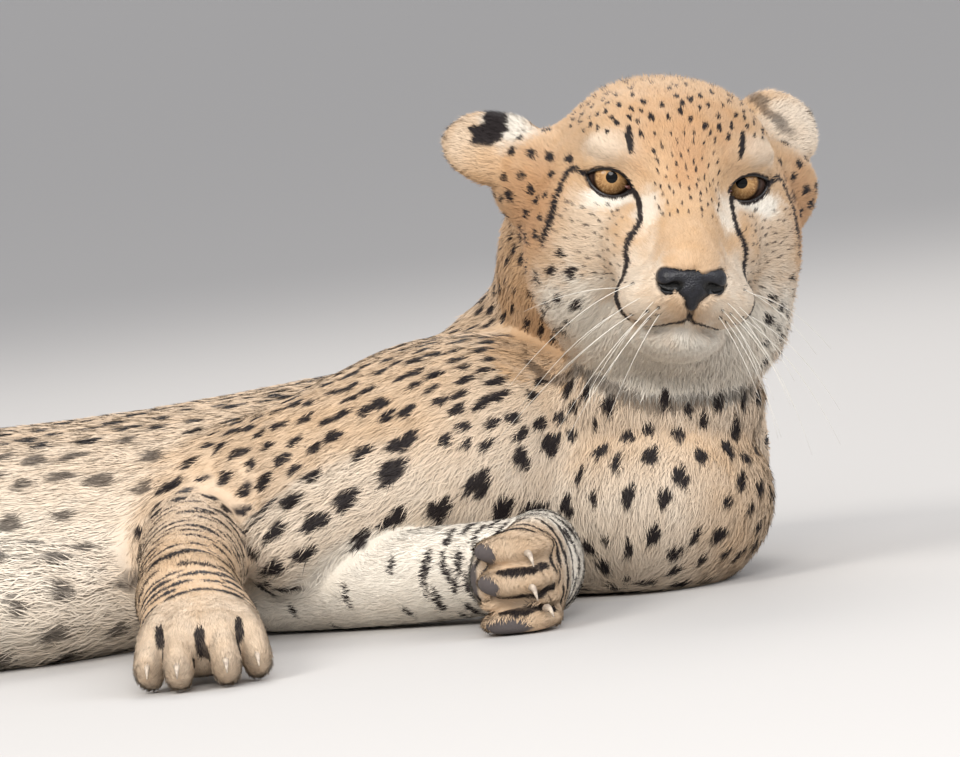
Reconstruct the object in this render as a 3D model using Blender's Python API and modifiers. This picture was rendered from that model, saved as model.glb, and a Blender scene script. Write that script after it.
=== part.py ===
"""Cheetah lying on its left side with its head raised: a still, life-size model.

World axes: +X to the animal's head end, +Y to its back, +Z up, floor at z = 0.
The shape tables are in centimetres, as (centre, side radius, upright radius).
"""
import math

import bmesh
import bpy
from mathutils import Matrix, Vector

CM = 0.01
GAP = 0.0003            # width of a parting cut
ROOM = 0.0004           # clearance round a form that is set into another
DEEP_ROOM = 0.0012      # the same where two forms meet deep inside the chest
FLOOR_DIG = 0.35        # how far the soft underside is pressed flat, in cm
RING_SIDES = 20
SPAN_STEPS = 4          # rings between two stations of a loft

# Head frame: between the eyes, facing -Y, the animal's left at +X.
HEAD_AT = Vector((11.5, -3.8, 21.7))
HEAD_TURN = math.radians(10.0)
HEAD_LEAN = math.radians(9.4)
HEAD_NOD = math.radians(3.0)

EYE_SIDE = 3.45         # from the middle line to each eye's centre
EYE_RADIUS = 1.45
EYE_DEPTH = 0.75        # from the eye line back to the eyeball's centre

Z_UP = (0, 0, 1)
Y_UP = (0, 1, 0)

TRUNK = [
    ((-69.0, 31.0, 5.6), 5.0, 4.6),
    ((-62.0, 28.0, 6.9), 9.4, 7.4),
    ((-52.0, 23.5, 6.3), 9.4, 6.7),
    ((-42.0, 19.5, 5.8), 10.4, 6.3),
    ((-30.0, 15.5, 5.9), 13.0, 6.3),
    ((-18.0, 13.5, 6.0), 13.8, 6.4),
    ((-5.0, 12.0, 6.5), 13.0, 6.9),
    ((4.0, 11.0, 6.8), 11.0, 7.2),
    ((8.9, 9.4, 6.7), 7.4, 6.3),
]
NECK = [
    ((6.0, 15.0, 8.5), 8.0, 7.6),
    ((7.9, 10.5, 13.2), 7.7, 7.2),
    ((8.7, 6.8, 17.4), 7.3, 6.6),
]
CHEST_WOOL = ((-1.5, 4.0, 6.4), (9.0, 8.6, 6.6))
WITHERS = ((2.6, 11.0, 11.6), (5.6, 7.0, 4.6))
ELBOW_WOOL = [
    ((-1.0, 0.6, 8.4), 4.6, 4.0),
    ((-7.0, -1.4, 6.6), 4.2, 3.6),
    ((-11.0, -2.4, 4.9), 3.4, 3.0),
]
THROAT_BASE = ((9.0, 3.0, 10.0), (6.2, 6.4, 5.0))
BELLY_FOLD = [
    ((-20.5, 1.6, 3.2), 4.6, 3.6),
    ((-27.5, -0.6, 3.6), 5.2, 4.0),
    ((-38.0, 6.0, 4.2), 5.6, 4.6),
    ((-47.0, 13.0, 4.6), 5.0, 4.8),
]

LEFT_SHOULDER = ((8.3, 1.8, 4.9), (6.7, 7.2, 5.7))
LEFT_UPPER_ARM = [
    ((7.0, 2.5, 4.6), 5.0, 4.6),
    ((-3.0, 2.5, 3.8), 4.3, 4.0),
    ((-12.0, 1.6, 3.2), 3.3, 3.3),
]
LEFT_FOREARM = [
    ((-11.4, 0.4, 2.7), 2.9, 2.8),
    ((-6.0, -4.0, 2.9), 2.8, 2.8),
    ((-0.5, -8.2, 3.2), 2.6, 2.7),
    ((2.0, -9.6, 3.3), 2.4, 2.8),
]
LEFT_HAND = [
    ((2.3, -8.6, 3.3), 2.0, 2.7),
    ((1.7, -12.2, 3.3), 2.1, 3.0),
    ((1.0, -14.6, 3.2), 1.9, 2.7),
]
LEFT_PALM = ((-0.7, -12.6, 3.1), (1.2, 1.7, 1.8))
# Each toe of the left forepaw, which lies on its outer edge: height, thickness, reach.
LEFT_TOES = [(5.2, 0.85, -16.4), (3.4, 1.0, -17.2), (2.0, 0.75, -16.2), (0.9, 0.85, -16.6)]

RIGHT_SHOULDER = ((-1.6, 7.6, 8.3), (9.6, 11.0, 6.5))
RIGHT_UPPER_ARM = [
    ((0.0, 3.5, 9.4), 6.0, 5.0),
    ((-7.0, 3.4, 8.1), 6.0, 5.3),
    ((-13.2, 4.2, 6.5), 4.6, 4.8),
    ((-16.2, 4.4, 5.7), 3.5, 3.9),
]
RIGHT_FOREARM = [
    ((-16.0, 4.0, 5.5), 3.4, 3.8),
    ((-16.0, -5.0, 4.9), 3.1, 3.3),
    ((-16.1, -14.0, 4.1), 2.8, 2.8),
]
RIGHT_HAND = [
    ((-15.9, -15.0, 3.8), 2.9, 2.6),
    ((-15.4, -19.5, 2.9), 3.3, 2.3),
    ((-15.3, -22.5, 2.5), 3.1, 2.0),
]
RIGHT_TOE_SIDES = (-18.0, -16.5, -14.1, -12.6)
RIGHT_TOE_REACH = (-24.9, -26.4, -26.4, -24.9)

RIGHT_THIGH = [
    ((-61.0, 25.0, 8.2), 8.6, 6.2),
    ((-56.0, 15.0, 7.6), 7.6, 6.0),
    ((-49.5, 5.0, 6.2), 5.0, 4.6),
    ((-47.6, 2.4, 5.8), 4.2, 4.2),
]
RIGHT_SHANK = [
    ((-48.0, 2.6, 5.6), 4.0, 4.0),
    ((-56.0, -4.5, 4.8), 3.9, 3.6),
    ((-64.5, -11.5, 3.6), 2.3, 2.4),
    ((-67.0, -13.6, 3.2), 2.5, 2.4),
]
RIGHT_FOOT = [
    ((-67.0, -13.4, 3.1), 2.5, 2.5),
    ((-63.5, -20.0, 2.6), 2.1, 2.2),
    ((-59.2, -28.5, 2.4), 2.5, 2.2),
    ((-57.4, -32.0, 2.3), 3.0, 2.0),
]
RIGHT_FOOT_HEADING = (0.46, -0.89)

LEFT_THIGH = [
    ((-56.0, 23.0, 5.0), 7.6, 5.0),
    ((-46.0, 16.5, 4.5), 6.6, 4.6),
    ((-36.5, 9.0, 3.7), 4.6, 3.9),
    ((-34.6, 6.6, 3.5), 4.0, 3.6),
]
LEFT_SHANK = [
    ((-34.8, 6.8, 3.4), 3.8, 3.5),
    ((-39.5, -2.0, 3.3), 3.6, 3.4),
    ((-46.0, -13.0, 2.6), 2.2, 2.3),
    ((-47.6, -15.6, 2.5), 2.4, 2.4),
]
LEFT_FOOT = [
    ((-47.4, -15.4, 2.5), 2.4, 2.4),
    ((-44.6, -23.0, 2.3), 2.0, 2.1),
    ((-41.6, -31.0, 2.3), 2.5, 2.2),
    ((-40.4, -34.6, 2.3), 3.0, 2.0),
]
LEFT_FOOT_HEADING = (0.32, -0.95)

TAIL = [
    ((-68.0, 30.5, 5.6), 3.2, 3.2),
    ((-76.0, 34.5, 3.4), 2.7, 2.7),
    ((-88.0, 37.5, 2.4), 2.5, 2.5),
    ((-101.0, 36.5, 2.3), 2.4, 2.4),
    ((-112.0, 30.0, 2.2), 2.3, 2.3),
    ((-119.0, 19.0, 2.2), 2.3, 2.3),
    ((-119.5, 7.0, 2.1), 2.2, 2.2),
    ((-115.5, 0.5, 1.9), 1.7, 1.8),
]

# Head shapes, in the head frame.
CRANIUM = ((0, 5.0, 0.5), (6.0, 7.0, 5.1))
BROW = ((0, 1.4, 1.7), (4.9, 3.4, 3.2))
CHEEK = ((4.4, 3.4, -2.6), (3.0, 4.8, 3.8))
JOWL = ((3.6, 3.2, -5.4), (3.1, 4.5, 3.6))
MUZZLE = [
    ((0, 1.0, -2.8), 3.6, 3.4),
    ((0, -2.4, -3.6), 2.9, 2.8),
    ((0, -5.4, -4.9), 2.2, 2.2),
]
BRIDGE = [
    ((0, -0.6, 1.2), 2.0, 1.3),
    ((0, -3.4, -1.4), 1.7, 1.3),
    ((0, -6.0, -3.6), 1.4, 1.2),
]
WHISKER_PAD = ((1.75, -4.0, -6.0), (2.1, 2.4, 1.8))
CHIN = ((0, -2.9, -8.0), (2.3, 2.4, 1.5))
JAW = [
    ((0, -2.0, -7.6), 2.6, 1.8),
    ((0, 3.5, -7.0), 4.4, 3.0),
]
RUFF = ((1.0, 4.2, -7.6), (6.3, 5.4, 4.5))
EAR_BASE = ((6.3, 6.2, -0.6), (2.6, 3.0, 2.8))
NAPE = ((0, 8.6, -2.2), (6.9, 4.6, 5.4))
NOSE = ((0, -6.4, -4.85), (1.85, 1.15, 1.25))

# Each ear: root, direction to its tip, direction its hollow faces, length, width.
RIGHT_EAR = dict(root=(-6.0, 6.4, 0.6), along=(-0.96, 0.10, 0.12), hollow=(0.25, 0.72, -0.62),
                 length=4.8, width=4.6)
LEFT_EAR = dict(root=(4.9, 6.8, 1.5), along=(0.80, 0.16, 0.42), hollow=(-0.15, 0.85, -0.45),
                length=3.6, width=4.8)
EAR_THICKNESS = 2.2

COLOURS = {
    "coat": (0.72, 0.47, 0.22, 1),
    "leather": (0.035, 0.035, 0.045, 1),
    "iris": (0.30, 0.14, 0.035, 1),
}


def new_collection(name):
    collection = bpy.data.collections.new(name)
    bpy.context.scene.collection.children.link(collection)
    return collection


def clear_scene():
    for obj in list(bpy.data.objects):
        bpy.data.objects.remove(obj, do_unlink=True)


def material(name, colour, roughness):
    mat = bpy.data.materials.new(name)
    mat.use_nodes = True
    shader = mat.node_tree.nodes["Principled BSDF"]
    shader.inputs["Base Color"].default_value = colour
    shader.inputs["Roughness"].default_value = roughness
    shader.inputs["Metallic"].default_value = 0.0
    return mat


def head_matrix():
    turn = Matrix.Rotation(HEAD_TURN, 4, "Z")
    lean = Matrix.Rotation(HEAD_LEAN, 4, "Y")
    nod = Matrix.Rotation(HEAD_NOD, 4, "X")
    return Matrix.Translation(HEAD_AT) @ turn @ lean @ nod


def smooth_stations(stations):
    """Catmull-Rom spline through a loft's stations."""
    rows = [Vector((*centre, side, up)) for centre, side, up in stations]
    rows = [rows[0]] + rows + [rows[-1]]
    fine = []
    for before, start, end, after in zip(rows, rows[1:], rows[2:], rows[3:]):
        for step in range(SPAN_STEPS):
            t = step / SPAN_STEPS
            fine.append(0.5 * (2 * start + (end - before) * t
                               + (2 * before - 5 * start + 4 * end - after) * t ** 2
                               + (3 * start - before - 3 * end + after) * t ** 3))
    fine.append(rows[-1])
    return [(Vector(row[:3]), row[3], row[4]) for row in fine]


def add_loft(bm, stations, upright=Z_UP):
    """A closed tube of elliptical rings with rounded ends."""
    rows = smooth_stations(stations)
    rings = []
    last = len(rows) - 1
    for index, (centre, side, up) in enumerate(rows):
        heading = (rows[min(index + 1, last)][0] - rows[max(index - 1, 0)][0]).normalized()
        across = Vector(upright).cross(heading).normalized()
        rings.append((centre, across * side, heading.cross(across) * up, heading))

    def cap(ring, outward):
        centre, across, rise, heading = ring
        bulge = min(across.length, rise.length) * outward
        angles = [math.radians(a) for a in (30, 55, 78)]
        return [(centre + heading * bulge * math.sin(a), across * math.cos(a), rise * math.cos(a))
                for a in angles]

    body = [ring[:3] for ring in rings]
    body = list(reversed(cap(rings[0], -1))) + body + cap(rings[-1], 1)
    loops = []
    for centre, across, rise in body:
        turns = [2 * math.pi * k / RING_SIDES for k in range(RING_SIDES)]
        loops.append([bm.verts.new(centre + across * math.cos(a) + rise * math.sin(a)) for a in turns])
    for lower, upper in zip(loops, loops[1:]):
        for k in range(RING_SIDES):
            n = (k + 1) % RING_SIDES
            bm.faces.new((lower[k], lower[n], upper[n], upper[k]))
    bm.faces.new(list(reversed(loops[0])))
    bm.faces.new(loops[-1])


def add_ball(bm, ball, mirror=False):
    """An ellipsoid, and its mirror image across the head's middle."""
    centre, radii = ball
    sides = (1, -1) if mirror else (1,)
    for side in sides:
        place = Matrix.Translation((centre[0] * side, centre[1], centre[2]))
        bmesh.ops.create_uvsphere(bm, u_segments=28, v_segments=18, radius=1.0,
                                  matrix=place @ Matrix.Diagonal((*radii, 1.0)))


def add_toe(bm, knuckle, tip, side_radius, up_radius):
    """One toe: out from the knuckle, then down to its tip."""
    knuckle = Vector(knuckle)
    tip = Vector(tip)
    middle = knuckle.lerp(tip, 0.55) + Vector((0, 0, 0.35))
    add_loft(bm, [(knuckle, side_radius, up_radius), (middle, side_radius, up_radius),
                  (tip, side_radius * 0.85, up_radius * 0.85)])


def mesh_object(name, bm, collection, frame=None):
    bmesh.ops.transform(bm, matrix=Matrix.Scale(CM, 4) @ (frame or Matrix.Identity(4)), verts=bm.verts)
    bmesh.ops.recalc_face_normals(bm, faces=bm.faces)
    mesh = bpy.data.meshes.new(name)
    bm.to_mesh(mesh)
    bm.free()
    obj = bpy.data.objects.new(name, mesh)
    collection.objects.link(obj)
    return obj


def bake(obj):
    """Apply an object's modifiers."""
    mesh = bpy.data.meshes.new_from_object(obj.evaluated_get(bpy.context.evaluated_depsgraph_get()))
    obj.modifiers.clear()
    obj.data = mesh


def fuse(obj, voxel, smoothing, triangles):
    """Melt overlapping shapes into one smooth closed form with few triangles."""
    remesh = obj.modifiers.new("melt", "REMESH")
    remesh.mode = "VOXEL"
    remesh.voxel_size = voxel * CM
    smooth = obj.modifiers.new("soften", "SMOOTH")
    smooth.factor = 0.5
    smooth.iterations = smoothing
    bake(obj)
    count = sum(len(face.vertices) - 2 for face in obj.data.polygons)
    thin = obj.modifiers.new("thin", "DECIMATE")
    thin.ratio = min(1.0, triangles / count)
    bake(obj)


def cut(obj, cutter):
    boolean = obj.modifiers.new("cut", "BOOLEAN")
    boolean.operation = "DIFFERENCE"
    boolean.solver = "EXACT"
    boolean.object = cutter
    bake(obj)


def grown_copy(obj, cutters, room):
    """The same form, larger by the clearance all round."""
    copy = bpy.data.objects.new(obj.name + "_room", obj.data.copy())
    cutters.objects.link(copy)
    bm = bmesh.new()
    bm.from_mesh(copy.data)
    bm.normal_update()
    offsets = []
    for vert in bm.verts:
        lowest = min(vert.normal.dot(face.normal) for face in vert.link_faces)
        offsets.append(vert.normal * room / max(lowest, 0.3))
    for vert, offset in zip(bm.verts, offsets):
        vert.co += offset
    bm.to_mesh(copy.data)
    bm.free()
    hide_cutter(copy)
    return copy


def hide_cutter(obj):
    obj.hide_render = True
    obj.display_type = "WIRE"


def islands(obj):
    """Loose parts of a mesh, as sets of vertex indices."""
    bm = bmesh.new()
    bm.from_mesh(obj.data)
    seen = set()
    found = []
    for start in bm.verts:
        if start.index in seen:
            continue
        part = {start.index}
        stack = [start]
        while stack:
            vert = stack.pop()
            for edge in vert.link_edges:
                other = edge.other_vert(vert)
                if other.index not in part:
                    part.add(other.index)
                    stack.append(other)
        seen |= part
        found.append(part)
    bm.free()
    return found


def take_island(obj, part, name, collection):
    bm = bmesh.new()
    bm.from_mesh(obj.data)
    bm.verts.ensure_lookup_table()
    bmesh.ops.delete(bm, geom=[v for v in bm.verts if v.index not in part], context="VERTS")
    mesh = bpy.data.meshes.new(name)
    bm.to_mesh(mesh)
    bm.free()
    piece = bpy.data.objects.new(name, mesh)
    collection.objects.link(piece)
    return piece


def volume(obj):
    bm = bmesh.new()
    bm.from_mesh(obj.data)
    amount = abs(bm.calc_volume())
    bm.free()
    return amount


def keep_largest(obj, collection):
    """Drop the slivers that a cut leaves beside the main piece."""
    parts = islands(obj)
    if len(parts) == 1:
        return obj
    pieces = [take_island(obj, part, obj.name + "_piece", collection) for part in parts]
    pieces.sort(key=volume, reverse=True)
    obj.data = pieces[0].data.copy()
    for piece in pieces:
        bpy.data.objects.remove(piece, do_unlink=True)
    return obj


def slice_apart(obj, slices, names, collection, cutters):
    """Part a form with thin discs, and name each length by the point that lies nearest it."""
    for index, (centre, normal, radii) in enumerate(slices):
        bm = bmesh.new()
        bmesh.ops.create_cone(bm, cap_ends=True, segments=32, radius1=1, radius2=1, depth=GAP / CM)
        turn = Vector(normal).to_track_quat("Z", "Y").to_matrix().to_4x4()
        place = Matrix.Translation(centre) @ turn @ Matrix.Diagonal((radii[0], radii[1], 1, 1))
        blade = mesh_object(f"{obj.name}_slice_{index}", bm, cutters, place)
        hide_cutter(blade)
        cut(obj, blade)
    pieces = [take_island(obj, part, "piece", collection) for part in islands(obj)]
    pieces.sort(key=volume, reverse=True)
    kept = {}
    for piece in pieces[:len(names)]:
        corners = [Vector(c) for c in piece.bound_box]
        middle = sum(corners, Vector()) / len(corners)
        label = min((n for n in names if n not in kept),
                    key=lambda n: (Vector(names[n]) * CM - middle).length)
        piece.name = label
        piece.data.name = label
        kept[label] = piece
    for piece in pieces[len(names):]:
        bpy.data.objects.remove(piece, do_unlink=True)
    bpy.data.objects.remove(obj, do_unlink=True)
    return kept


def press_flat(obj, floor):
    cut(obj, floor)


def build_torso(cutters):
    bm = bmesh.new()
    add_loft(bm, TRUNK)
    add_loft(bm, NECK, upright=Y_UP)
    add_ball(bm, CHEST_WOOL)
    add_ball(bm, THROAT_BASE)
    add_ball(bm, WITHERS)
    add_loft(bm, ELBOW_WOOL)
    add_loft(bm, BELLY_FOLD)
    torso = mesh_object("torso", bm, cutters)
    fuse(torso, voxel=0.8, smoothing=10, triangles=640)
    return torso


def build_left_arm(cutters):
    bm = bmesh.new()
    add_ball(bm, LEFT_SHOULDER)
    add_loft(bm, LEFT_UPPER_ARM)
    arm = mesh_object("left_upper_arm", bm, cutters)
    fuse(arm, voxel=0.6, smoothing=8, triangles=200)
    return arm


def build_left_foreleg(cutters):
    bm = bmesh.new()
    add_loft(bm, LEFT_FOREARM)
    add_loft(bm, LEFT_HAND)
    for height, thick, reach in LEFT_TOES:
        add_loft(bm, [((1.3, -12.6, height * 0.85 + 0.45), 1.7, thick),
                      ((0.7, -14.8, height), 2.3, thick),
                      ((0.4, reach + 0.8, height), 2.0, thick * 0.9)])
    add_ball(bm, LEFT_PALM)
    leg = mesh_object("left_foreleg", bm, cutters)
    fuse(leg, voxel=0.36, smoothing=3, triangles=430)
    return leg


def build_right_foreleg(cutters):
    bm = bmesh.new()
    add_ball(bm, RIGHT_SHOULDER)
    add_loft(bm, RIGHT_UPPER_ARM)
    add_loft(bm, RIGHT_FOREARM)
    add_loft(bm, RIGHT_HAND)
    for side, reach in zip(RIGHT_TOE_SIDES, RIGHT_TOE_REACH):
        inner = side + (-15.3 - side) * 0.35
        add_toe(bm, (inner, -20.6, 2.9), (side, reach + 0.9, 1.35), 0.85, 1.25)
    leg = mesh_object("right_foreleg", bm, cutters)
    fuse(leg, voxel=0.42, smoothing=4, triangles=640)
    return leg


def build_hind_leg(name, thigh, shank, foot, heading, cutters):
    bm = bmesh.new()
    add_loft(bm, thigh)
    add_loft(bm, shank)
    add_loft(bm, foot)
    ahead = Vector((*heading, 0))
    across = Vector((-ahead.y, ahead.x, 0))
    ball = Vector(foot[-1][0])
    for side, reach in ((-2.1, 2.3), (-0.75, 3.4), (0.75, 3.4), (2.1, 2.3)):
        knuckle = ball + across * side * 0.8 + ahead * 0.4
        tip = ball + across * side + ahead * reach
        tip.z = 1.3
        add_toe(bm, knuckle, tip, 0.85, 1.15)
    leg = mesh_object(name, bm, cutters)
    fuse(leg, voxel=0.5, smoothing=5, triangles=350)
    return leg


def build_tail(cutters):
    bm = bmesh.new()
    add_loft(bm, TAIL)
    tail = mesh_object("tail", bm, cutters)
    fuse(tail, voxel=0.5, smoothing=4, triangles=210)
    return tail


def build_head(cutters, frame):
    bm = bmesh.new()
    for ball in (CRANIUM, BROW, RUFF, NAPE, CHIN):
        add_ball(bm, ball)
    for ball in (CHEEK, JOWL, WHISKER_PAD, EAR_BASE):
        add_ball(bm, ball, mirror=True)
    add_loft(bm, MUZZLE)
    add_loft(bm, BRIDGE)
    add_loft(bm, JAW)
    head = mesh_object("head", bm, cutters, frame)
    fuse(head, voxel=0.4, smoothing=5, triangles=1000)
    return head


def build_ear(name, ear, cutters, frame):
    """A round cup: a flattened ball with a smaller ball taken out of its hollow side."""
    along = Vector(ear["along"]).normalized()
    facing = Vector(ear["hollow"])
    facing = (facing - along * facing.dot(along)).normalized()
    across = along.cross(facing)
    axes = Matrix((along, across, facing)).transposed().to_4x4()
    middle = Vector(ear["root"]) + along * ear["length"] * 0.5
    place = frame @ Matrix.Translation(middle) @ axes
    bm = bmesh.new()
    bmesh.ops.create_uvsphere(bm, u_segments=12, v_segments=8, radius=1.0, matrix=Matrix.Diagonal(
        (ear["length"] * 0.62, ear["width"] * 0.5, EAR_THICKNESS * 0.5, 1)))
    shell = mesh_object(name, bm, cutters, place)
    bm = bmesh.new()
    bmesh.ops.create_uvsphere(bm, u_segments=12, v_segments=8, radius=1.0, matrix=Matrix.Translation(
        (0.1 * ear["length"], 0, EAR_THICKNESS * 0.62)) @ Matrix.Diagonal(
        (ear["length"] * 0.44, ear["width"] * 0.36, EAR_THICKNESS * 0.72, 1)))
    hollow = mesh_object(name + "_hollow", bm, cutters, place)
    hide_cutter(hollow)
    cut(shell, hollow)
    return shell


def build_eye(name, side, cutters, frame):
    bm = bmesh.new()
    bmesh.ops.create_uvsphere(bm, u_segments=12, v_segments=7, radius=EYE_RADIUS)
    return mesh_object(name, bm, cutters, frame @ Matrix.Translation((side * EYE_SIDE, EYE_DEPTH, 0)))


def build_nose(cutters, frame):
    bm = bmesh.new()
    add_ball(bm, NOSE)
    nose = mesh_object("nose", bm, cutters, frame)
    fuse(nose, voxel=0.25, smoothing=2, triangles=90)
    return nose


def make_room(body, guests, cutters, room=ROOM):
    """Cut each guest's form, with its clearance, out of the body it sits in."""
    for guest in guests:
        larger = grown_copy(guest, cutters, room)
        cut(body, larger)
        bpy.data.objects.remove(larger, do_unlink=True)


def main():
    clear_scene()
    animal = new_collection("cheetah")
    cutters = new_collection("cutters")
    frame = head_matrix()

    torso = build_torso(cutters)
    left_arm = build_left_arm(cutters)
    left_leg = build_left_foreleg(cutters)
    right_leg = build_right_foreleg(cutters)
    left_hind = build_hind_leg("left_hind", LEFT_THIGH, LEFT_SHANK, LEFT_FOOT,
                               LEFT_FOOT_HEADING, cutters)
    right_hind = build_hind_leg("right_hind", RIGHT_THIGH, RIGHT_SHANK, RIGHT_FOOT,
                                RIGHT_FOOT_HEADING, cutters)
    tail = build_tail(cutters)
    head = build_head(cutters, frame)
    ears = [build_ear("ear_right", RIGHT_EAR, cutters, frame),
            build_ear("ear_left", LEFT_EAR, cutters, frame)]
    eyes = [build_eye("eye_right", -1, cutters, frame), build_eye("eye_left", 1, cutters, frame)]
    nose = build_nose(cutters, frame)

    # Later forms lie over earlier ones, and keep their whole outline.
    make_room(torso, [left_arm, left_leg, left_hind, right_hind, right_leg, tail, head], cutters)
    make_room(left_arm, [left_leg, right_leg, head], cutters, DEEP_ROOM)
    make_room(left_leg, [right_leg], cutters)
    make_room(left_hind, [right_hind, tail], cutters)
    make_room(right_hind, [tail], cutters)
    make_room(right_leg, [head], cutters)
    make_room(head, ears + eyes + [nose], cutters)

    bm = bmesh.new()
    bmesh.ops.create_cube(bm, size=1.0, matrix=Matrix.Translation((-50, 0, -10)) @ Matrix.Diagonal(
        (240, 160, 20, 1)))
    floor = mesh_object("floor_cutter", bm, cutters, Matrix.Translation((0, 0, FLOOR_DIG)))
    hide_cutter(floor)
    whole = [torso, left_arm, left_leg, right_leg, left_hind, right_hind, tail]
    for form in whole:
        press_flat(form, floor)
    for form in [head, left_arm] + ears:
        keep_largest(form, cutters)

    nodes = {}
    nodes.update(slice_apart(torso, [
        ((6.5, 8.5, 13.2), (0.365, -0.158, 0.917), (15, 15)),
        ((-26.5, 12.0, 6), (-0.96, 0.27, 0), (20, 24)),
        ((-49.5, 18.0, 6), (-0.93, 0.36, 0), (20, 22)),
    ], {"neck": (9, 8, 16), "chest": (-6, 11, 6), "belly": (-37, 14, 6), "rump": (-60, 27, 6)},
        animal, cutters))
    nodes.update(slice_apart(left_leg, [
        ((1.5, -10.0, 3.3), (0.43, -0.90, 0), (5.5, 5.5)),
    ], {"left_forearm": (-5, -4, 3), "left_forepaw": (1, -14, 3)}, animal, cutters))
    nodes.update(slice_apart(right_leg, [
        ((-17.0, -3.2, 5.1), (0.05, -1.0, 0), (4.8, 5.4)),
        ((-16.0, -14.6, 4.0), (0.10, -0.99, -0.1), (4.5, 4.5)),
    ], {"right_upper_arm": (-5, 8, 9), "right_forearm": (-17, -7, 5),
        "right_forepaw": (-15, -21, 3)}, animal, cutters))
    nodes.update(slice_apart(left_hind, [
        ((-38.5, 0.0, 3.3), (-0.45, -0.89, 0), (5.6, 5.6)),
        ((-47.0, -17.0, 2.5), (0.32, -0.95, 0), (4.5, 4.5)),
    ], {"left_thigh": (-45, 15, 5), "left_shank": (-41, -5, 3), "left_hindfoot": (-43, -26, 2)},
        animal, cutters))
    nodes.update(slice_apart(right_hind, [
        ((-54.2, -3.0, 5.0), (-0.75, -0.66, 0), (6.4, 6.4)),
        ((-65.9, -16.2, 3.0), (0.46, -0.89, 0), (5.4, 5.4)),
    ], {"right_thigh": (-55, 14, 7), "right_shank": (-58, -6, 4), "right_hindfoot": (-62, -24, 2)},
        animal, cutters))
    nodes.update(slice_apart(tail, [
        ((-93.0, 37.6, 2.4), (1, 0, 0), (4, 4)),
        ((-115.5, 25.5, 2.2), (0.5, 0.86, 0), (4, 4)),
    ], {"tail_base": (-80, 35, 3), "tail_middle": (-104, 33, 2), "tail_tip": (-118, 12, 2)},
        animal, cutters))
    for piece in [left_arm, head, nose] + ears + eyes:
        cutters.objects.unlink(piece)
        animal.objects.link(piece)
        nodes[piece.name] = piece

    lows = [min((piece.matrix_world @ v.co)[k] for piece in nodes.values() for v in piece.data.vertices)
            for k in range(3)]
    highs = [max((piece.matrix_world @ v.co)[k] for piece in nodes.values() for v in piece.data.vertices)
             for k in range(3)]
    shift = Vector(((lows[0] + highs[0]) / 2, (lows[1] + highs[1]) / 2, lows[2]))
    coat = material("spotted_coat", COLOURS["coat"], 0.85)
    leather = material("nose_leather", COLOURS["leather"], 0.45)
    iris = material("eye_amber", COLOURS["iris"], 0.12)
    finishes = {"nose": leather, "eye_right": iris, "eye_left": iris}
    for name, piece in nodes.items():
        piece.data.transform(Matrix.Translation(-shift))
        piece.data.materials.clear()
        piece.data.materials.append(finishes.get(name, coat))
        piece.data.shade_smooth()


main()
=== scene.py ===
import math
import time

import bmesh
import bpy
import numpy as np
import openvdb
from mathutils import Matrix, Vector, kdtree


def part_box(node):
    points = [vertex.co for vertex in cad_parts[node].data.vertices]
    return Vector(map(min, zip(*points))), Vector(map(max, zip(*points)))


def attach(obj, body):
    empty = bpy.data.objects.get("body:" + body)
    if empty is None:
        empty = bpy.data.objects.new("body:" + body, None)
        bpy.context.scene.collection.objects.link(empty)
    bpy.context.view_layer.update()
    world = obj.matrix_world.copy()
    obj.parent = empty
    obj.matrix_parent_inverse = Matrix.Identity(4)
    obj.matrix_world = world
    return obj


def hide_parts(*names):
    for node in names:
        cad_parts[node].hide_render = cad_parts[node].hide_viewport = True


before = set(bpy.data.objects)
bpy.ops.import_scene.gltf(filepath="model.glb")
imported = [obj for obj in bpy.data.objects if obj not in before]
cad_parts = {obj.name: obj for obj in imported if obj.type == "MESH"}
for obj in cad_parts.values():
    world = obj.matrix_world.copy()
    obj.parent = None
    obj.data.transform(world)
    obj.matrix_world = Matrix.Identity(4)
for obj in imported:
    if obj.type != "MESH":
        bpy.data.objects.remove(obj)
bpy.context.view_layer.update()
startTime = time.time()
cm = 0.01
chance = np.random.default_rng(11)

# The tables below are in centimetres in the animal's own frame: +X to the head end, +Y to
# the back, +Z up. The head's shapes are in the head's frame: between the eyes, facing -Y.
headPose = {
    "at": (11.5, -3.8, 21.7),
    "turn": 10.0,
    "lean": 9.4,
    "nod": 3.0,
    "eyeSide": 3.45,
    "eyeBack": 0.75,
    "slant": 0.075,          # how much the muzzle leans to the right as it comes forward
}


def report(stage):
    print(f"{stage}: {time.time() - startTime:.0f} s")


def headMatrix():
    turn = Matrix.Rotation(math.radians(headPose["turn"]), 4, "Z")
    lean = Matrix.Rotation(math.radians(headPose["lean"]), 4, "Y")
    nod = Matrix.Rotation(math.radians(headPose["nod"]), 4, "X")
    return Matrix.Translation(headPose["at"]) @ turn @ lean @ nod


headFrame = headMatrix()
headTurn = np.array(headFrame.to_3x3())
headAt = np.array(headPose["at"])


def toHead(points):
    places = (np.asarray(points, float) - headAt) @ headTurn
    places[..., 0] += headPose["slant"] * np.maximum(-0.8 - places[..., 1], 0)
    return places


def fromHead(points):
    places = np.array(points, float)
    places[..., 0] -= headPose["slant"] * np.maximum(-0.8 - places[..., 1], 0)
    return places @ headTurn.T + headAt


# Where the animal's frame lies in the row frame, from the two eyes.
offsets = []
for node, side in (("eye_right", -1), ("eye_left", 1)):
    low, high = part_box(node)
    place = fromHead((side * headPose["eyeSide"], headPose["eyeBack"], 0)) * cm
    offsets.append(np.array((low + high) / 2) - place)
rowOffset = np.mean(offsets, axis=0)
floorLevel = -rowOffset[2] / cm


def toRow(points):
    return points * cm + rowOffset


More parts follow.
